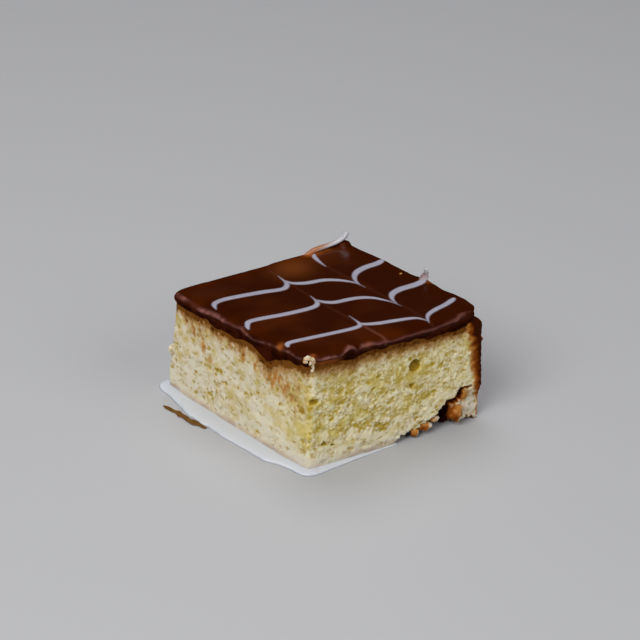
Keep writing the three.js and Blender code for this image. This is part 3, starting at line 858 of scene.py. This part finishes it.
icing = {
    "rise": 0.15,
    "strokes": [  # places on the top and the width there, front row first; the last one goes on as the curl
        [(-2.6, 8.8, 0.5), (-1.7, 11.3, 1.5), (-0.2, 13.0, 2.0), (2.7, 13.2, 2.2), (10.2, 12.4, 2.2),
         (17.7, 11.6, 2.1), (24.3, 11.0, 2.0), (26.7, 12.0, 1.7), (27.3, 15.0, 0.7), (27.4, 19.7, 0.1)],
        [(27.6, 12.6, 0.8), (28.8, 11.2, 1.7), (32.7, 9.7, 2.1), (37.7, 8.7, 2.0), (42.7, 7.6, 1.7),
         (45.6, 6.3, 1.2), (47.0, 4.2, 0.6), (47.5, 2.4, 0.1)],
        [(47.2, 1.9, 0.2), (48.5, 4.7, 1.1), (50.6, 6.8, 1.7), (54.3, 8.2, 2.0), (58.5, 9.2, 2.1),
         (62.2, 10.6, 2.2), (63.9, 11.5, 1.5)],
        [(-5.3, 28.6, 0.4), (-4.2, 31.8, 1.4), (-2.8, 34.2, 2.1), (-1.0, 35.1, 2.5), (2.7, 34.7, 2.6),
         (10.2, 33.1, 2.6), (17.7, 32.2, 2.5), (21.8, 32.3, 2.4), (23.9, 33.8, 1.8), (24.8, 36.4, 0.9),
         (25.2, 40.4, 0.1)],
        [(25.3, 36.4, 0.5), (25.7, 34.8, 1.3), (26.9, 33.0, 2.1), (29.3, 31.3, 2.4), (34.3, 30.5, 2.4),
         (38.5, 29.3, 2.2), (41.8, 26.8, 1.7), (43.9, 23.4, 1.1), (45.3, 20.0, 0.5), (46.0, 16.4, 0.1)],
        [(45.8, 18.6, 0.3), (46.4, 22.0, 1.1), (47.7, 24.6, 1.9), (49.8, 26.5, 2.7), (53.5, 27.6, 3.1),
         (58.5, 27.7, 3.2), (62.4, 28.4, 2.9), (65.6, 30.4, 1.2)],
        [(-5.9, 49.8, 0.4), (-4.9, 52.8, 1.6), (-3.2, 54.7, 2.4), (0.6, 55.3, 2.8), (6.8, 54.2, 2.8),
         (13.5, 52.6, 2.8), (19.3, 50.8, 2.6), (21.8, 51.0, 2.4), (23.8, 53.2, 1.8), (24.5, 56.2, 0.9),
         (24.8, 61.0, 0.1)],
        [(24.9, 55.8, 0.5), (25.4, 53.6, 1.4), (26.8, 51.8, 2.2), (30.2, 49.9, 2.6), (35.2, 48.8, 2.5),
         (38.5, 46.8, 2.1), (41.0, 44.3, 1.6), (43.1, 41.2, 1.0), (43.8, 38.8, 0.5), (44.2, 35.4, 0.1)],
        [(43.9, 38.4, 0.3), (44.6, 42.2, 1.2), (46.4, 45.5, 2.0), (49.3, 47.9, 2.7), (53.5, 49.2, 3.0),
         (57.7, 49.5, 3.0), (60.2, 50.2, 2.5), (62.2, 51.4, 0.8)],
        [(42.4, 57.6, 0.2), (42.6, 62.2, 1.2), (43.0, 65.5, 1.8), (43.6, 67.4, 1.5), (44.6, 68.6, 0.4)],
    ],
    "combLines": [  # where the comb was drawn through, and how much it shows there
        [(29.0, 0.0, 1.0), (27.4, 9.0, 1.0), (26.8, 15.0, 0.25), (25.4, 33.0, 0.2), (24.4, 66.0, 0.2)],
        [(48.0, 0.0, 0.2), (46.2, 20.0, 0.2), (44.2, 40.0, 0.2), (42.4, 60.0, 0.2)],
        [(56.0, 68.0, 0.35), (54.5, 63.0, 0.1)],
    ],
    "strokeSteps": 41,
    "edge": [-0.6, 0.3],  # from the icing's height to the glaze's, by the way from a stroke's edge
    "trailWidth": 0.6,
    "trailDepth": 0.08,
    "farAway": 9.0,
}


def lipHang(flat):
    # read off along the right and left faces, the nearer one's list counting; a plain wave elsewhere
    x, y = flat[..., 0], flat[..., 1]
    wave = glaze["lipWave"] * smoothNoise(atLevel(flat), glaze["lipWaveLength"], [0.0, 0.0, 3.0])
    fromLeft = -(flat @ outOfLeft)
    onRight = np.interp(x, *np.array(glaze["lipOnRight"]).T)
    onLeft = np.interp(np.hypot(x, y), *np.array(glaze["lipOnLeft"]).T)
    listed = mix(onRight, onLeft, smoothstep(y - fromLeft, *glaze["spans"]["cornerTurn"]))
    unlisted = smoothstep(np.minimum(y, fromLeft), *glaze["spans"]["pastLists"])
    return mix(listed, glaze["lipDepth"] + wave, unlisted)


def spline(places, steps):  # Catmull-Rom: each span from its four nearest places by the cubic weights
    places = np.asarray(places, float)
    padded = np.concatenate([places[:1], places, places[-1:]])
    at = np.linspace(0, len(places) - 1, steps)
    span = np.minimum(at.astype(int), len(places) - 2)
    t = (at - span)[:, None]
    a, b, c, d = (padded[span + n] for n in range(4))
    cubic = (2 * a - 5 * b + 4 * c - d) * t ** 2 + (3 * b - a - 3 * c + d) * t ** 3
    return 0.5 * (2 * b + (c - a) * t + cubic)


def alongList(values, steps):  # straight lines between the values
    return np.interp(np.linspace(0, len(values) - 1, steps), np.arange(len(values)), values)


def toStroke(flat, rows):
    # from each point to each straight piece of a spline: how far, and the listed third value there
    rows = np.array(rows)
    path = spline(rows[:, :2], icing["strokeSteps"])
    value = alongList(rows[:, 2], icing["strokeSteps"])
    start, way = path[:-1], np.diff(path, axis=0)
    t = np.clip(((flat[:, None] - start) * way).sum(-1) / (way ** 2).sum(-1), 0, 1)
    away = np.linalg.norm(flat[:, None] - start - t[..., None] * way, axis=-1)
    return away, value[:-1] + t * np.diff(value)


def icingDistance(flat):  # from the nearest stroke's edge, in millimetres, negative on the icing
    nearest = np.full(len(flat), icing["farAway"])
    for rows in icing["strokes"]:
        away, width = toStroke(flat, rows)
        nearest = np.minimum(nearest, (away - width / 2).min(1))
    return nearest


def combTrail(flat):  # bell curve across each line that the comb was drawn along
    trail = np.zeros(len(flat))
    for rows in icing["combLines"]:
        away, shown = toStroke(flat, rows)
        trail = np.maximum(trail, (shown * bell(away, icing["trailWidth"])).max(1))
    return trail


def rimAway(flat):  # how far in from each side of the rim
    along = unit(np.roll(glazeRim, -1, axis=0) - glazeRim)
    normal = quarterTurn(along)
    return np.stack([(flat - glazeRim[n]) @ normal[n] for n in range(4)], axis=-1)


def coonsGrid(ring, cells):  # the four boundary curves blended both ways, less their corners' blend
    front, right = ring[: cells + 1], ring[cells: 2 * cells + 1]
    back, left = ring[2 * cells: 3 * cells + 1][::-1], np.concatenate([ring[3 * cells:], ring[:1]])[::-1]
    s = np.linspace(0, 1, cells + 1)[:, None, None]
    t = np.linspace(0, 1, cells + 1)[None, :, None]
    edges = (1 - t) * front[:, None] + t * back[:, None] + (1 - s) * left[None] + s * right[None]
    corners = (1 - s) * ((1 - t) * front[0] + t * back[0]) + s * ((1 - t) * front[-1] + t * back[-1])
    return edges - corners


def glazeRing(inset):  # the rim's outline moved in, started at the middle of the front corner
    cells, turn = glaze["cellsAcross"], glaze["cornerColumns"]
    radii = np.maximum(np.array(cake["glazeRadius"]) - inset, cake["smallestRadius"])
    corners = moveSides(glazeRim, np.full(4, inset))
    return np.roll(outline(corners, radii, [cells - turn] * 4, turn), -(turn // 2), axis=0)


def lipProfile():
    # way in from the rim, fixed drop and share of the hang: a quarter ellipse, a bulging flank, a half-round
    # roll and the tuck
    keys = ("shoulderReach", "shoulderDrop", "rollRadius", "tuckIn")
    reach, drop, roll, tuckIn = (glaze[key] for key in keys)
    shoulderRows, flankRows, rollRows = glaze["lipRows"]
    turn = np.linspace(0, np.pi / 2, shoulderRows + 1)[1:]
    shoulder = np.stack([reach * (1 - np.sin(turn)), drop * (1 - np.cos(turn)), 0 * turn], axis=-1)
    s = np.linspace(0, 1, flankRows + 1)[1:]
    flank = np.stack([tuckIn * s ** 1.5, drop - s * (drop + roll), s], axis=-1)
    turn = np.linspace(0, np.pi, rollRows + 1)[1:]
    under = np.stack([tuckIn + roll * (1 - np.cos(turn)), roll * (np.sin(turn) - 1), 1 + 0 * turn], axis=-1)
    return np.concatenate([shoulder, flank, under, np.array(glaze["tuck"])])


def rolledRim(flat, fall, away, lumpy):
    # bell curve across the line that the rim keeps on each side: height, painted highlight and what is under
    # it
    spans = glaze["spans"]
    level = atLevel(flat)
    beads = smoothNoise(level, 3.2, 4) + 0.6 * smoothNoise(level, 1.5)
    crest = bell(away - glaze["rimIn"] - 0.3 * lumpy[:, None], glaze["rimWidth"])
    paintedHighlight = np.zeros(len(flat))
    under = np.zeros(len(flat))
    for side, line in glaze["rimLine"].items():
        places, drops, listed = np.array(line).T
        place = flat[:, 0 if side == 0 else 1]
        below = fall - np.interp(place, places, drops) - 0.2 * lumpy
        others = np.delete(away, side, axis=1).min(1)
        beside = smoothstep(others - away[:, side], *spans["sideTurn"])
        beside *= fade(away[:, side], *spans["rimLane"])
        crest[:, side] = beside * bell(below, glaze["rimWidth"])
        highlightBelow = glaze["highlightDownLip"][side] * beside * bell(below - glaze["highlightDrop"], 1.0)
        under = np.maximum(under, beside * smoothstep(below, *spans["underRim"]))
        paintedHighlight = np.maximum(paintedHighlight, np.interp(place, places, listed) * (crest[:, side] + highlightBelow))
    height = (crest * np.array(glaze["rimBead"])).max(1) * (0.8 + 0.5 * beads)
    paintedHighlight *= 0.8 + 0.2 * smoothstep(beads, -0.6, 0.6)
    # painted glints on the left rim
    paintedHighlight += 0.4 * crest[:, 3] * smoothstep(smoothNoise(level, 1.3, 9), 0.2, 0.7)
    return height, paintedHighlight, under


def rimKnobs(flat, fall, under):
    # half balls on the rim: their height, and how much painted highlight is left under them
    height = np.zeros(len(flat))
    left = np.ones(len(flat))
    for x, y, radius, rise in glaze["knobs"]:
        knob = np.sqrt(np.maximum(1 - ((flat[:, 0] - x) ** 2 + (flat[:, 1] - y) ** 2) / radius ** 2, 0))
        height += rise * knob * fade(fall, *glaze["spans"]["knobFoot"])
        left *= 1 - np.minimum(rise, 0.8) * knob * under
    return height, left


def amberOf(flat, moved, fall):
    # the strongest of the listed bell curves, or the thin lip beside the front corner
    spans = glaze["spans"]
    amber = np.zeros(len(flat))
    for x, y, spread, strength in glaze["amber"]:
        away = np.hypot(moved[:, 0] - x, moved[:, 1] - y)
        amber = np.maximum(amber, strength * bell(away, spread))
    thin = fade(flat[:, 0], *spans["thinRight"]) * smoothstep(flat[:, 0], *spans["thinFront"])
    thin *= fade(flat[:, 1], *spans["thinBack"]) * smoothstep(fall, *spans["thinFrom"])
    return np.maximum(amber * fade(fall, *spans["amberFoot"]), glaze["thinLip"] * thin)


def glazeFaces(cells, rows):
    # a grid on top, a seam to the first ring, quads down the rings and a fan underneath
    grid = np.arange((cells + 1) ** 2).reshape(cells + 1, cells + 1)
    quads = np.stack([grid[:-1, :-1], grid[1:, :-1], grid[1:, 1:], grid[:-1, 1:]], axis=-1).reshape(-1, 4)
    border = np.concatenate([grid[:-1, 0], grid[-1, :-1], grid[::-1, -1][:-1], grid[0, ::-1][:-1]])
    columns = 4 * cells
    first = grid.size + np.arange(columns)
    seam = np.stack([border, first, np.roll(first, -1), np.roll(border, -1)], axis=-1)
    lip = ringFaces(rows, columns, grid.size)[:, ::-1]
    last = first + (rows - 1) * columns
    return [quads, seam, lip, fanFaces(last[::-1], last[-1] + 1)], last


def makeGlaze(material):
    # a grid on top and rings down the lip: each point falls by the lip's profile and rises by rim, knobs,
    # ripple and icing; on the rings, lumps, knobs and rim stand out sideways
    spans = glaze["spans"]
    cells = glaze["cellsAcross"]
    profile = lipProfile()
    top = coonsGrid(glazeRing(glaze["shoulderReach"]), cells).reshape(-1, 2)
    rings = np.stack([glazeRing(inset) for inset in profile[:, 0]])
    hang = lipHang(rings) + glaze["lipFray"] * smoothNoise(atLevel(rings), glaze["lipFraySize"])
    lipFall = profile[:, None, 1] + profile[:, None, 2] * hang
    flat = np.concatenate([top, rings.reshape(-1, 2)])
    fall = np.concatenate([np.zeros(len(top)), lipFall.ravel()])
    away = rimAway(flat)
    push = np.interp(flat[:, 1], *np.array(glaze["panRunOut"]).T) * fade(away[:, 1], 0, glaze["panRunWidth"])
    moved = flat + push[:, None] * np.array([1.0, 0.0])

    level = atLevel(flat)
    lumpy = smoothNoise(level, 5.0) + 0.4 * smoothNoise(level, 2.4)
    rim, paintedHighlight, under = rolledRim(flat, fall, away, lumpy)
    knobs, highlightLeft = rimKnobs(flat, fall, under)
    amber = amberOf(flat, moved, fall)
    distance = icingDistance(moved) + 2.5 * np.maximum(fall - 0.3, 0)
    trail = combTrail(moved)
    onIcing = fade(distance, *icing["edge"])
    rolled = rim * smoothstep(fall, *spans["rollsOver"])
    ripple = glaze["ripple"] * (smoothNoise(level, 15.0) + 0.4 * smoothNoise(level, 5.0))
    rise = icing["rise"] * onIcing - icing["trailDepth"] * trail * (1 - onIcing)
    rise += rim - rolled + knobs + ripple
    shown = fade(fall, *spans["reliefFoot"])
    z = glazeHeight(flat) - fall + rise * shown

    downTheLip = (np.arange(len(profile)) + 1) / (len(profile) - glaze["smoothRows"])
    lumpRows = np.sin(np.pi * np.clip(downTheLip, 0, 1))
    sideways = (0.9 * knobs + rolled)[len(top):].reshape(rings.shape[:2])
    sideways += glaze["lumps"] * lumpRows[:, None] * lumpy[len(top):].reshape(rings.shape[:2])
    flat[len(top):] = (rings + outOfRings(rings) * sideways[..., None]).reshape(-1, 2)
    flat[:, 0] += push
    points = withHeight(flat, z)
    faces, last = glazeFaces(cells, len(profile))
    points = np.concatenate([points, [points[last].mean(0)]])

    dullFrame = 0.03 * fade(away.min(1) + 0.8 * lumpy, *spans["dullFrame"])
    # painted highlight on the rolled rim, passed on as the rim attribute
    pale = glaze["rimHighlightStrength"] * paintedHighlight * highlightLeft * fade(fall, *spans["paleFoot"])
    attributes = {
        "icing": np.append(np.clip(distance, -2, 2), 2.0),
        "trail": np.append(trail * shown, 0.0),
        "rim": np.append(pale, 0.0),
        "amber": np.append(amber, 0.0),
        # how far down the lip: it sets the lip's painted shade and where the gloss is dulled
        "lip": np.append(np.maximum(smoothstep(fall, *spans["lipFall"]), dullFrame), 1.0),
    }
    piece = makePiece("glaze_with_icing", points, faces, material, attributes)
    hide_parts("glaze")


def glazeMaterial():
    # dark glaze, then the lip's painted shade, the rim's painted highlight, amber, the comb's trail and the
    # white icing over it, its lavender tint a painted cool reflection
    material, tree, shader = newMaterial("chocolate glaze with icing")
    tones = glaze["tones"]
    lip, rim = attributeOf(tree, "lip"), attributeOf(tree, "rim")
    look = blend(tree, between(tree, objectNoise(tree, 26.0, 2.0), 0.4, 0.68), *tones["dark"])
    look = layered(tree, look, [
        # painted shade down the lip
        (between(tree, lip, 0.1, 0.9),
         blend(tree, between(tree, objectNoise(tree, 4.0, 2.0), 0.35, 0.65), *tones["lip"])),
        # painted highlight on the rim
        (rim, tones["rim"]),
        (attributeOf(tree, "amber"), tones["amber"]),
        (math2(tree, "MULTIPLY", attributeOf(tree, "trail"), 0.3), tones["trail"]),
        # white icing, its lavender tint a painted cool reflection
        (between(tree, attributeOf(tree, "icing"), 0.35, -0.5),
         blend(tree, objectNoise(tree, 3.0, 2.0), *tones["icing"])),
    ])
    dull = math2(tree, "MAXIMUM", between(tree, lip, 0.0, 0.03), between(tree, rim, 0.1, 0.6, 0.0, 0.8))
    setInputs(tree, shader, {
        "Base Color": look,
        "Roughness": between(tree, rim, 0.0, 1.0, 0.2, 0.34),
        "Specular IOR Level": between(tree, dull, 0.0, 1.0, 0.4, 0.0),
    })
    return material


# Icing that stands up from the glaze

peaks = {
    "bodies": [  # tint, then places with height over the glaze, width, and strength of the tint
        ("amber", [
            (41.0, 70.0, -0.7, 1.2, 2.0), (43.3, 70.2, 0.0, 2.2, 2.0), (45.1, 70.2, 0.6, 2.6, 1.9),
            (47.4, 70.2, 0.9, 2.6, 1.4), (49.9, 70.2, 1.0, 2.4, 1.0), (52.4, 70.2, 1.1, 2.2, 0.6),
            (54.9, 70.2, 1.4, 2.2, 0.3), (56.6, 70.2, 2.0, 2.5, 0.0), (57.9, 70.2, 2.9, 3.1, 0.0),
            (58.9, 70.2, 4.3, 2.9, 0.0),
        ]),
        # a mauve tinge, with painted shade at the base and on the side turned from the lamps
        ("mauveAndShade", [
            (63.2, 29.7, -0.6, 2.6, 1.0), (64.7, 30.2, 0.1, 3.2, 1.1), (65.6, 30.5, 0.9, 2.8, 1.4),
            (65.9, 30.5, 1.8, 2.2, 1.2), (65.7, 30.5, 2.7, 1.9, 0.2), (65.4, 30.5, 3.5, 1.5, 0.0),
        ]),
    ],
    "thickness": 0.6,
    "steps": 48,
    "sides": 14,
    "tintTurn": 0.7,  # the tints are strongest this far round, on the upper back side, where the peak's tint is painted shade
    "tones": {
        "white": [(176, 175, 184), (196, 196, 200)],
        "amber": (160, 102, 60),
        # painted shade and tinge on the peak
        "mauveAndShade": (134, 108, 112),
    },
}


def ribbon(places, widths, thickness, steps, sides):
    # an ellipse carried along a spline, its width from a list and its height a share of that
    path = spline(places, steps)
    way = unit(np.gradient(path, axis=0))
    across = unit(atLevel(quarterTurn(way)))
    up = np.cross(way, across)
    turn = turns(sides)[:, None]
    half = alongList(widths, steps)[:, None, None] / 2
    return path[:, None] + half * (np.cos(turn) * across[:, None] + thickness * np.sin(turn) * up[:, None])


def makePeaks(material):
    # ribbons over the glaze; a tint is its listed strength less what the cosine of the way round takes off
    steps, sides = peaks["steps"], peaks["sides"]
    fromBack = np.cos(turns(sides) - peaks["tintTurn"])
    points, faces, tints = [], [], {"amber": [], "mauveAndShade": []}
    for tint, rows in peaks["bodies"]:
        rows = np.array(rows)
        places, widths, strengths = rows[:, :3], rows[:, 3], rows[:, 4]
        places[:, 2] += glazeHeight(places[:, :2])
        rings = ribbon(places, widths, peaks["thickness"], steps, sides)
        body, sheet = closedRings(rings, sum(map(len, points)))
        points.append(body)
        faces += sheet
        spread = np.clip(alongList(strengths, steps)[:, None] - 0.5 + 0.5 * fromBack, 0, 1)
        spread = np.concatenate([spread.ravel(), strengths[:1], strengths[-1:]])
        for key, values in tints.items():
            values.append(spread if key == tint else 0 * spread)
    attributes = {key: np.concatenate(values) for key, values in tints.items()}
    makePiece("icing_peaks", np.concatenate(points), faces, material, attributes)


def icingMaterial():
    material, tree, shader = newMaterial("white icing")
    tones = peaks["tones"]
    look = blend(tree, objectNoise(tree, 2.0, 2.0), *tones["white"])
    look = layered(tree, look, [(attributeOf(tree, tint), tones[tint]) for tint in ("amber", "mauveAndShade")])
    setInputs(tree, shader, {"Base Color": look, "Roughness": 0.35, **glowInside(0.2, (1.0, 0.9, 0.8), 1.0)})
    return material


# Milk round the foot

milk = {
    "columnsPerSide": [90, 10, 60, 90],
    "columnsPerCorner": 8,
    "steps": 14,
    "width": 6.8,
    "widthAtFront": 2.2,
    "widthAtLeft": 3.4,
    "frontEnds": 22.0,  # how far back the front's width has widened
    "leftStarts": 45.0,
    "depth": 0.75,
    "edgeWidth": 0.4,
    "edgeDepth": 0.3,
    "onRightFace": 36.0,
    "onBackFace": 16.0,
    "tuckedIn": 1.2,  # under the sponge's edge, so no gap shows
    "thinnest": 0.001,  # share of the full width below which it ends
    "tones": [(202, 208, 218), (210, 215, 222)],
}


def makeMilk(material):
    # across: out from under the sponge, falling from the wet edge and rounding off; along: the foot's line
    sides, turn = milk["columnsPerSide"], milk["columnsPerCorner"]
    ring = outline(footCorners[None], np.array(cake["footRadius"])[None], sides, turn)[0]
    backStart = 3 * turn + sides[0] + sides[1]
    walk = np.concatenate([ring[backStart:], ring[: turn + sides[0]]])
    fromLeft = np.linalg.norm(walk - leftFoot, axis=-1)
    fromFront = np.linalg.norm(walk, axis=-1)
    onBack = np.arange(len(walk)) < sides[2]
    onRight = np.arange(len(walk)) >= len(walk) - turn - sides[0]
    full = np.where(onBack, fade(fromLeft, 0, milk["onBackFace"]), 1.0)
    full = np.where(onRight, fade(fromFront, 0, milk["onRightFace"]), full)
    kept = full > milk["thinnest"]
    walk, full = walk[kept], full[kept]
    outwards = -quarterTurn(unit(np.gradient(walk, axis=0)))
    spread = mix(milk["widthAtFront"], milk["width"], smoothstep(walk[:, 1], 0, milk["frontEnds"]))
    spread = mix(spread, milk["widthAtLeft"], smoothstep(walk[:, 1], milk["leftStarts"], leftFoot[1]))
    level = atLevel(walk)
    uneven = 1 + 0.14 * smoothNoise(level, 9.0, 8) + 0.07 * smoothNoise(level, 2.5)
    width = milk["edgeWidth"] + spread * full * uneven
    depth = milk["edgeDepth"] + milk["depth"] * full
    out = np.linspace(0, 1, milk["steps"])
    height = (0.8 + 0.2 * (1 - out) ** 2.5) * np.sqrt(1 - out ** 5)
    reach = np.concatenate([[-milk["tuckedIn"]], out, [-milk["tuckedIn"]]])
    rise = np.concatenate([[1.0], height, [0.0]])
    flat = walk[:, None] + outwards[:, None] * np.where(reach < 0, reach, reach * width[:, None])[..., None]
    points, faces = closedRings(withHeight(flat, depth[:, None] * rise)[:, ::-1])
    piece = makePiece("milk_pool", points, faces, material, {})
    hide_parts("milk")


def milkMaterial():
    material, tree, shader = newMaterial("milk")
    look = blend(tree, objectNoise(tree, 12.0, 2.0), *milk["tones"])
    setInputs(tree, shader, {"Base Color": look, "Roughness": 0.16, **glowInside(0.4, (1.0, 0.9, 0.8), 1.5)})
    return material


# Caramel beside the milk

streak = {
    "places": [  # place, height and width
        (-20.6, 61.6, 0.2, 0.8), (-18.9, 55.5, 0.2, 2.8), (-18.1, 50.3, 0.2, 1.6), (-16.4, 45.6, 0.2, 2.8),
        (-14.6, 40.6, 0.2, 0.5),
    ],
    "thickness": 0.12,
    "steps": 60,
    "sides": 16,
    "wander": [0.7, 2.2, (0, 40)],  # how far its edge wanders, the noise's size and shifts
    "tones": [(82, 48, 4), (122, 86, 22)],
}


def makeStreak(material):  # a thin ribbon on the floor, its points moved level by noise
    rows = np.array(streak["places"])
    rings = ribbon(rows[:, :3], rows[:, 3], streak["thickness"], streak["steps"], streak["sides"])
    points, faces = closedRings(rings)
    points[:, :2] += jitter(points, *streak["wander"])
    makePiece("caramel_streak", points, faces, material, {})


def streakMaterial():
    material, tree, shader = newMaterial("caramel")
    look = blend(tree, objectNoise(tree, 3.0, 2.0), *streak["tones"])
    setInputs(tree, shader, {"Base Color": look, "Roughness": 0.25, "Specular IOR Level": 0.2})
    return material


# Lumps of crust and crumb

lumps = {
    "rows": 18,
    "columns": 26,
    "roughness": 0.34,
    "roughSize": 1.5,
    "places": [  # middle, radii, how brown
        ([59.0, 0.6, 4.9], [2.5, 2.5, 3.5], 0.42),
        ([61.6, 0.7, 3.0], [1.6, 1.5, 1.6], 0.1),
        ([42.2, 0.6, 1.9], [1.3, 1.2, 1.5], 0.4),
        ([46.4, 0.7, 3.0], [2.5, 1.3, 1.4], 0.38),
        ([50.4, 0.7, 4.6], [1.8, 1.1, 1.0], 0.3),
        ([69.0, 2.6, 29.5], [1.1, 1.1, 0.9], 0.9),
        ([-11.9, 70.3, 15.5], [1.3, 1.3, 1.8], 0.02),
        ([60.3, 37.7, 40.7], [0.4, 0.4, 0.3], 0.3),
        ([-0.5, 0.5, 42.8], [1.3, 1.0, 0.7], 0.2),
        ([0.6, 0.1, 42.3], [0.9, 0.8, 0.8], 0.24),
        ([-1.4, 0.4, 41.9], [0.9, 0.8, 0.6], 0.22),
        ([1.2, -0.1, 41.2], [0.7, 0.6, 0.7], 0.2),
        ([0.0, -0.2, 41.2], [0.6, 0.6, 0.7], 0.28),
        ([1.0, -0.2, 39.8], [0.45, 0.45, 1.2], 0.2),
        ([0.6, -0.2, 38.4], [0.6, 0.5, 0.6], 0.2),
    ],
}


def makeLumps(material):
    # balls of two angles stretched to three radii, their surface pushed in and out by noise
    polar = np.linspace(0, np.pi, lumps["rows"] + 2)[1:-1][:, None]
    turn = turns(lumps["columns"])[None]
    x, y = np.sin(polar) * np.cos(turn), np.sin(polar) * np.sin(turn)
    ball = np.stack([x, y, -np.cos(polar) + 0 * turn], axis=-1)
    points, faces, toast, olive = [], [], [], []
    for middle, radii, brown in lumps["places"]:
        away = ball * np.array(radii)
        swell = 1 + lumps["roughness"] * roughNoise(np.array(middle) + away, lumps["roughSize"], 3)
        body, sheet = closedRings(np.array(middle) + away * swell[..., None], sum(map(len, points)))
        points.append(body)
        faces += sheet
        across = (body[:, 0] - middle[0]) / radii[0]
        toast.append(brown * (1 - 0.5 * across + 0.6 * roughNoise(body, 1.6, 3)))
        olive.append(0.3 + 0.4 * smoothNoise(body, 0.7))
    points = np.concatenate(points)
    attributes = {"toast": np.concatenate(toast), "olive": np.concatenate(olive)}
    attributes |= {key: np.zeros(len(points)) for key in ("yellow", "golden", "soak", "stain", "wet")}
    makePiece("crust_lumps", points, faces, material, attributes)


# Floor, light and camera

studio = {
    "floorSize": 12.0,
    "floorDrop": 0.00005,  # clear of the foot, so that the two don't flicker
    "floorTone": (178, 180, 184),
    "floorRoughness": 0.6,
    "worldTone": (150, 152, 156),
    "worldStrength": 0.32,
    "lights": [  # name, degrees round, degrees up, metres away, size, watts, colour
        ("key", -66.0, 46.0, 1.4, 0.9, 14.0, (1.0, 0.98, 0.96)),
        ("fill", 25.0, 35.0, 1.6, 1.0, 6.6, (1.0, 0.98, 0.95)),
        ("overhead", 165.0, 68.0, 1.5, 1.1, 9.0, (1.0, 0.97, 0.96)),
    ],
}

view = {
    "aim": [58.8, 86.4, 0.0],
    "distance": 744.3,
    "azimuth": -32.64,
    "elevation": 28.58,
    "roll": 1.134,
    "lens": 112.5,
    "sensor": 36.0,
    "nearest": 0.01,
}


def outFrom(azimuth, elevation):  # unit way out to a place so far round and so far up
    a, e = math.radians(azimuth), math.radians(elevation)
    return Vector((math.sin(a) * math.cos(e), -math.cos(a) * math.cos(e), math.sin(e)))


def makeFloor():  # one square
    material, tree, shader = newMaterial("pale floor")
    tone = colour(*studio["floorTone"])
    setInputs(tree, shader, {"Base Color": tone, "Roughness": studio["floorRoughness"]})
    half = studio["floorSize"] / 2
    corners = [(-half, -half, 0), (half, -half, 0), (half, half, 0), (-half, half, 0)]
    mesh = bpy.data.meshes.new("floor")
    mesh.from_pydata(corners, [], [(0, 1, 2, 3)])
    mesh.materials.append(material)
    floor = addObject("floor", mesh)
    floor.location.z = -studio["floorDrop"]


def makeLights():  # round lamps that face the middle of the frame, in a dim room
    scene = bpy.context.scene
    world = bpy.data.worlds.new("soft room")
    world.use_nodes = True
    room = {"Color": colour(*studio["worldTone"]), "Strength": studio["worldStrength"]}
    setInputs(world.node_tree, world.node_tree.nodes["Background"], room)
    world.cycles_visibility.glossy = False  # the room lights the cake but doesn't show in the glaze
    scene.world = world
    for name, azimuth, elevation, away, size, watts, tint in studio["lights"]:
        lamp = bpy.data.lights.new(name, "AREA")
        lamp.shape = "DISK"
        lamp.size = size
        lamp.energy = watts
        lamp.color = tint
        light = addObject(name, lamp)
        out = outFrom(azimuth, elevation)
        light.location = out * away
        light.rotation_euler = out.to_track_quat("Z", "Y").to_euler()
    scene.view_settings.view_transform = "Standard"


def makeCamera():  # back from its aim by the distance, rolled about its own line of sight
    lens = bpy.data.cameras.new("camera")
    lens.lens = view["lens"]
    lens.sensor_width = view["sensor"]
    lens.clip_start = view["nearest"]
    back = outFrom(view["azimuth"], view["elevation"])
    level = Vector((0, 0, 1)).cross(back).normalized()
    up = back.cross(level)
    roll = math.radians(view["roll"])
    right = level * math.cos(roll) + up * math.sin(roll)
    up = up * math.cos(roll) - level * math.sin(roll)
    aim = (Vector(view["aim"]) + Vector(frontCorner)) / mmPerMetre
    turned = Matrix((right, up, back)).transposed().to_4x4()
    camera = addObject("camera", lens)
    camera.matrix_world = Matrix.Translation(aim + back * view["distance"] / mmPerMetre) @ turned
    bpy.context.scene.camera = camera


makeCamera()
makeFloor()
makeLights()
print("camera, floor and lights are set")
crumb = crumbMaterial()
makeSponge(crumb)
makeGlaze(glazeMaterial())
makePeaks(icingMaterial())
makeMilk(milkMaterial())
makeStreak(streakMaterial())
makeLumps(crumb)
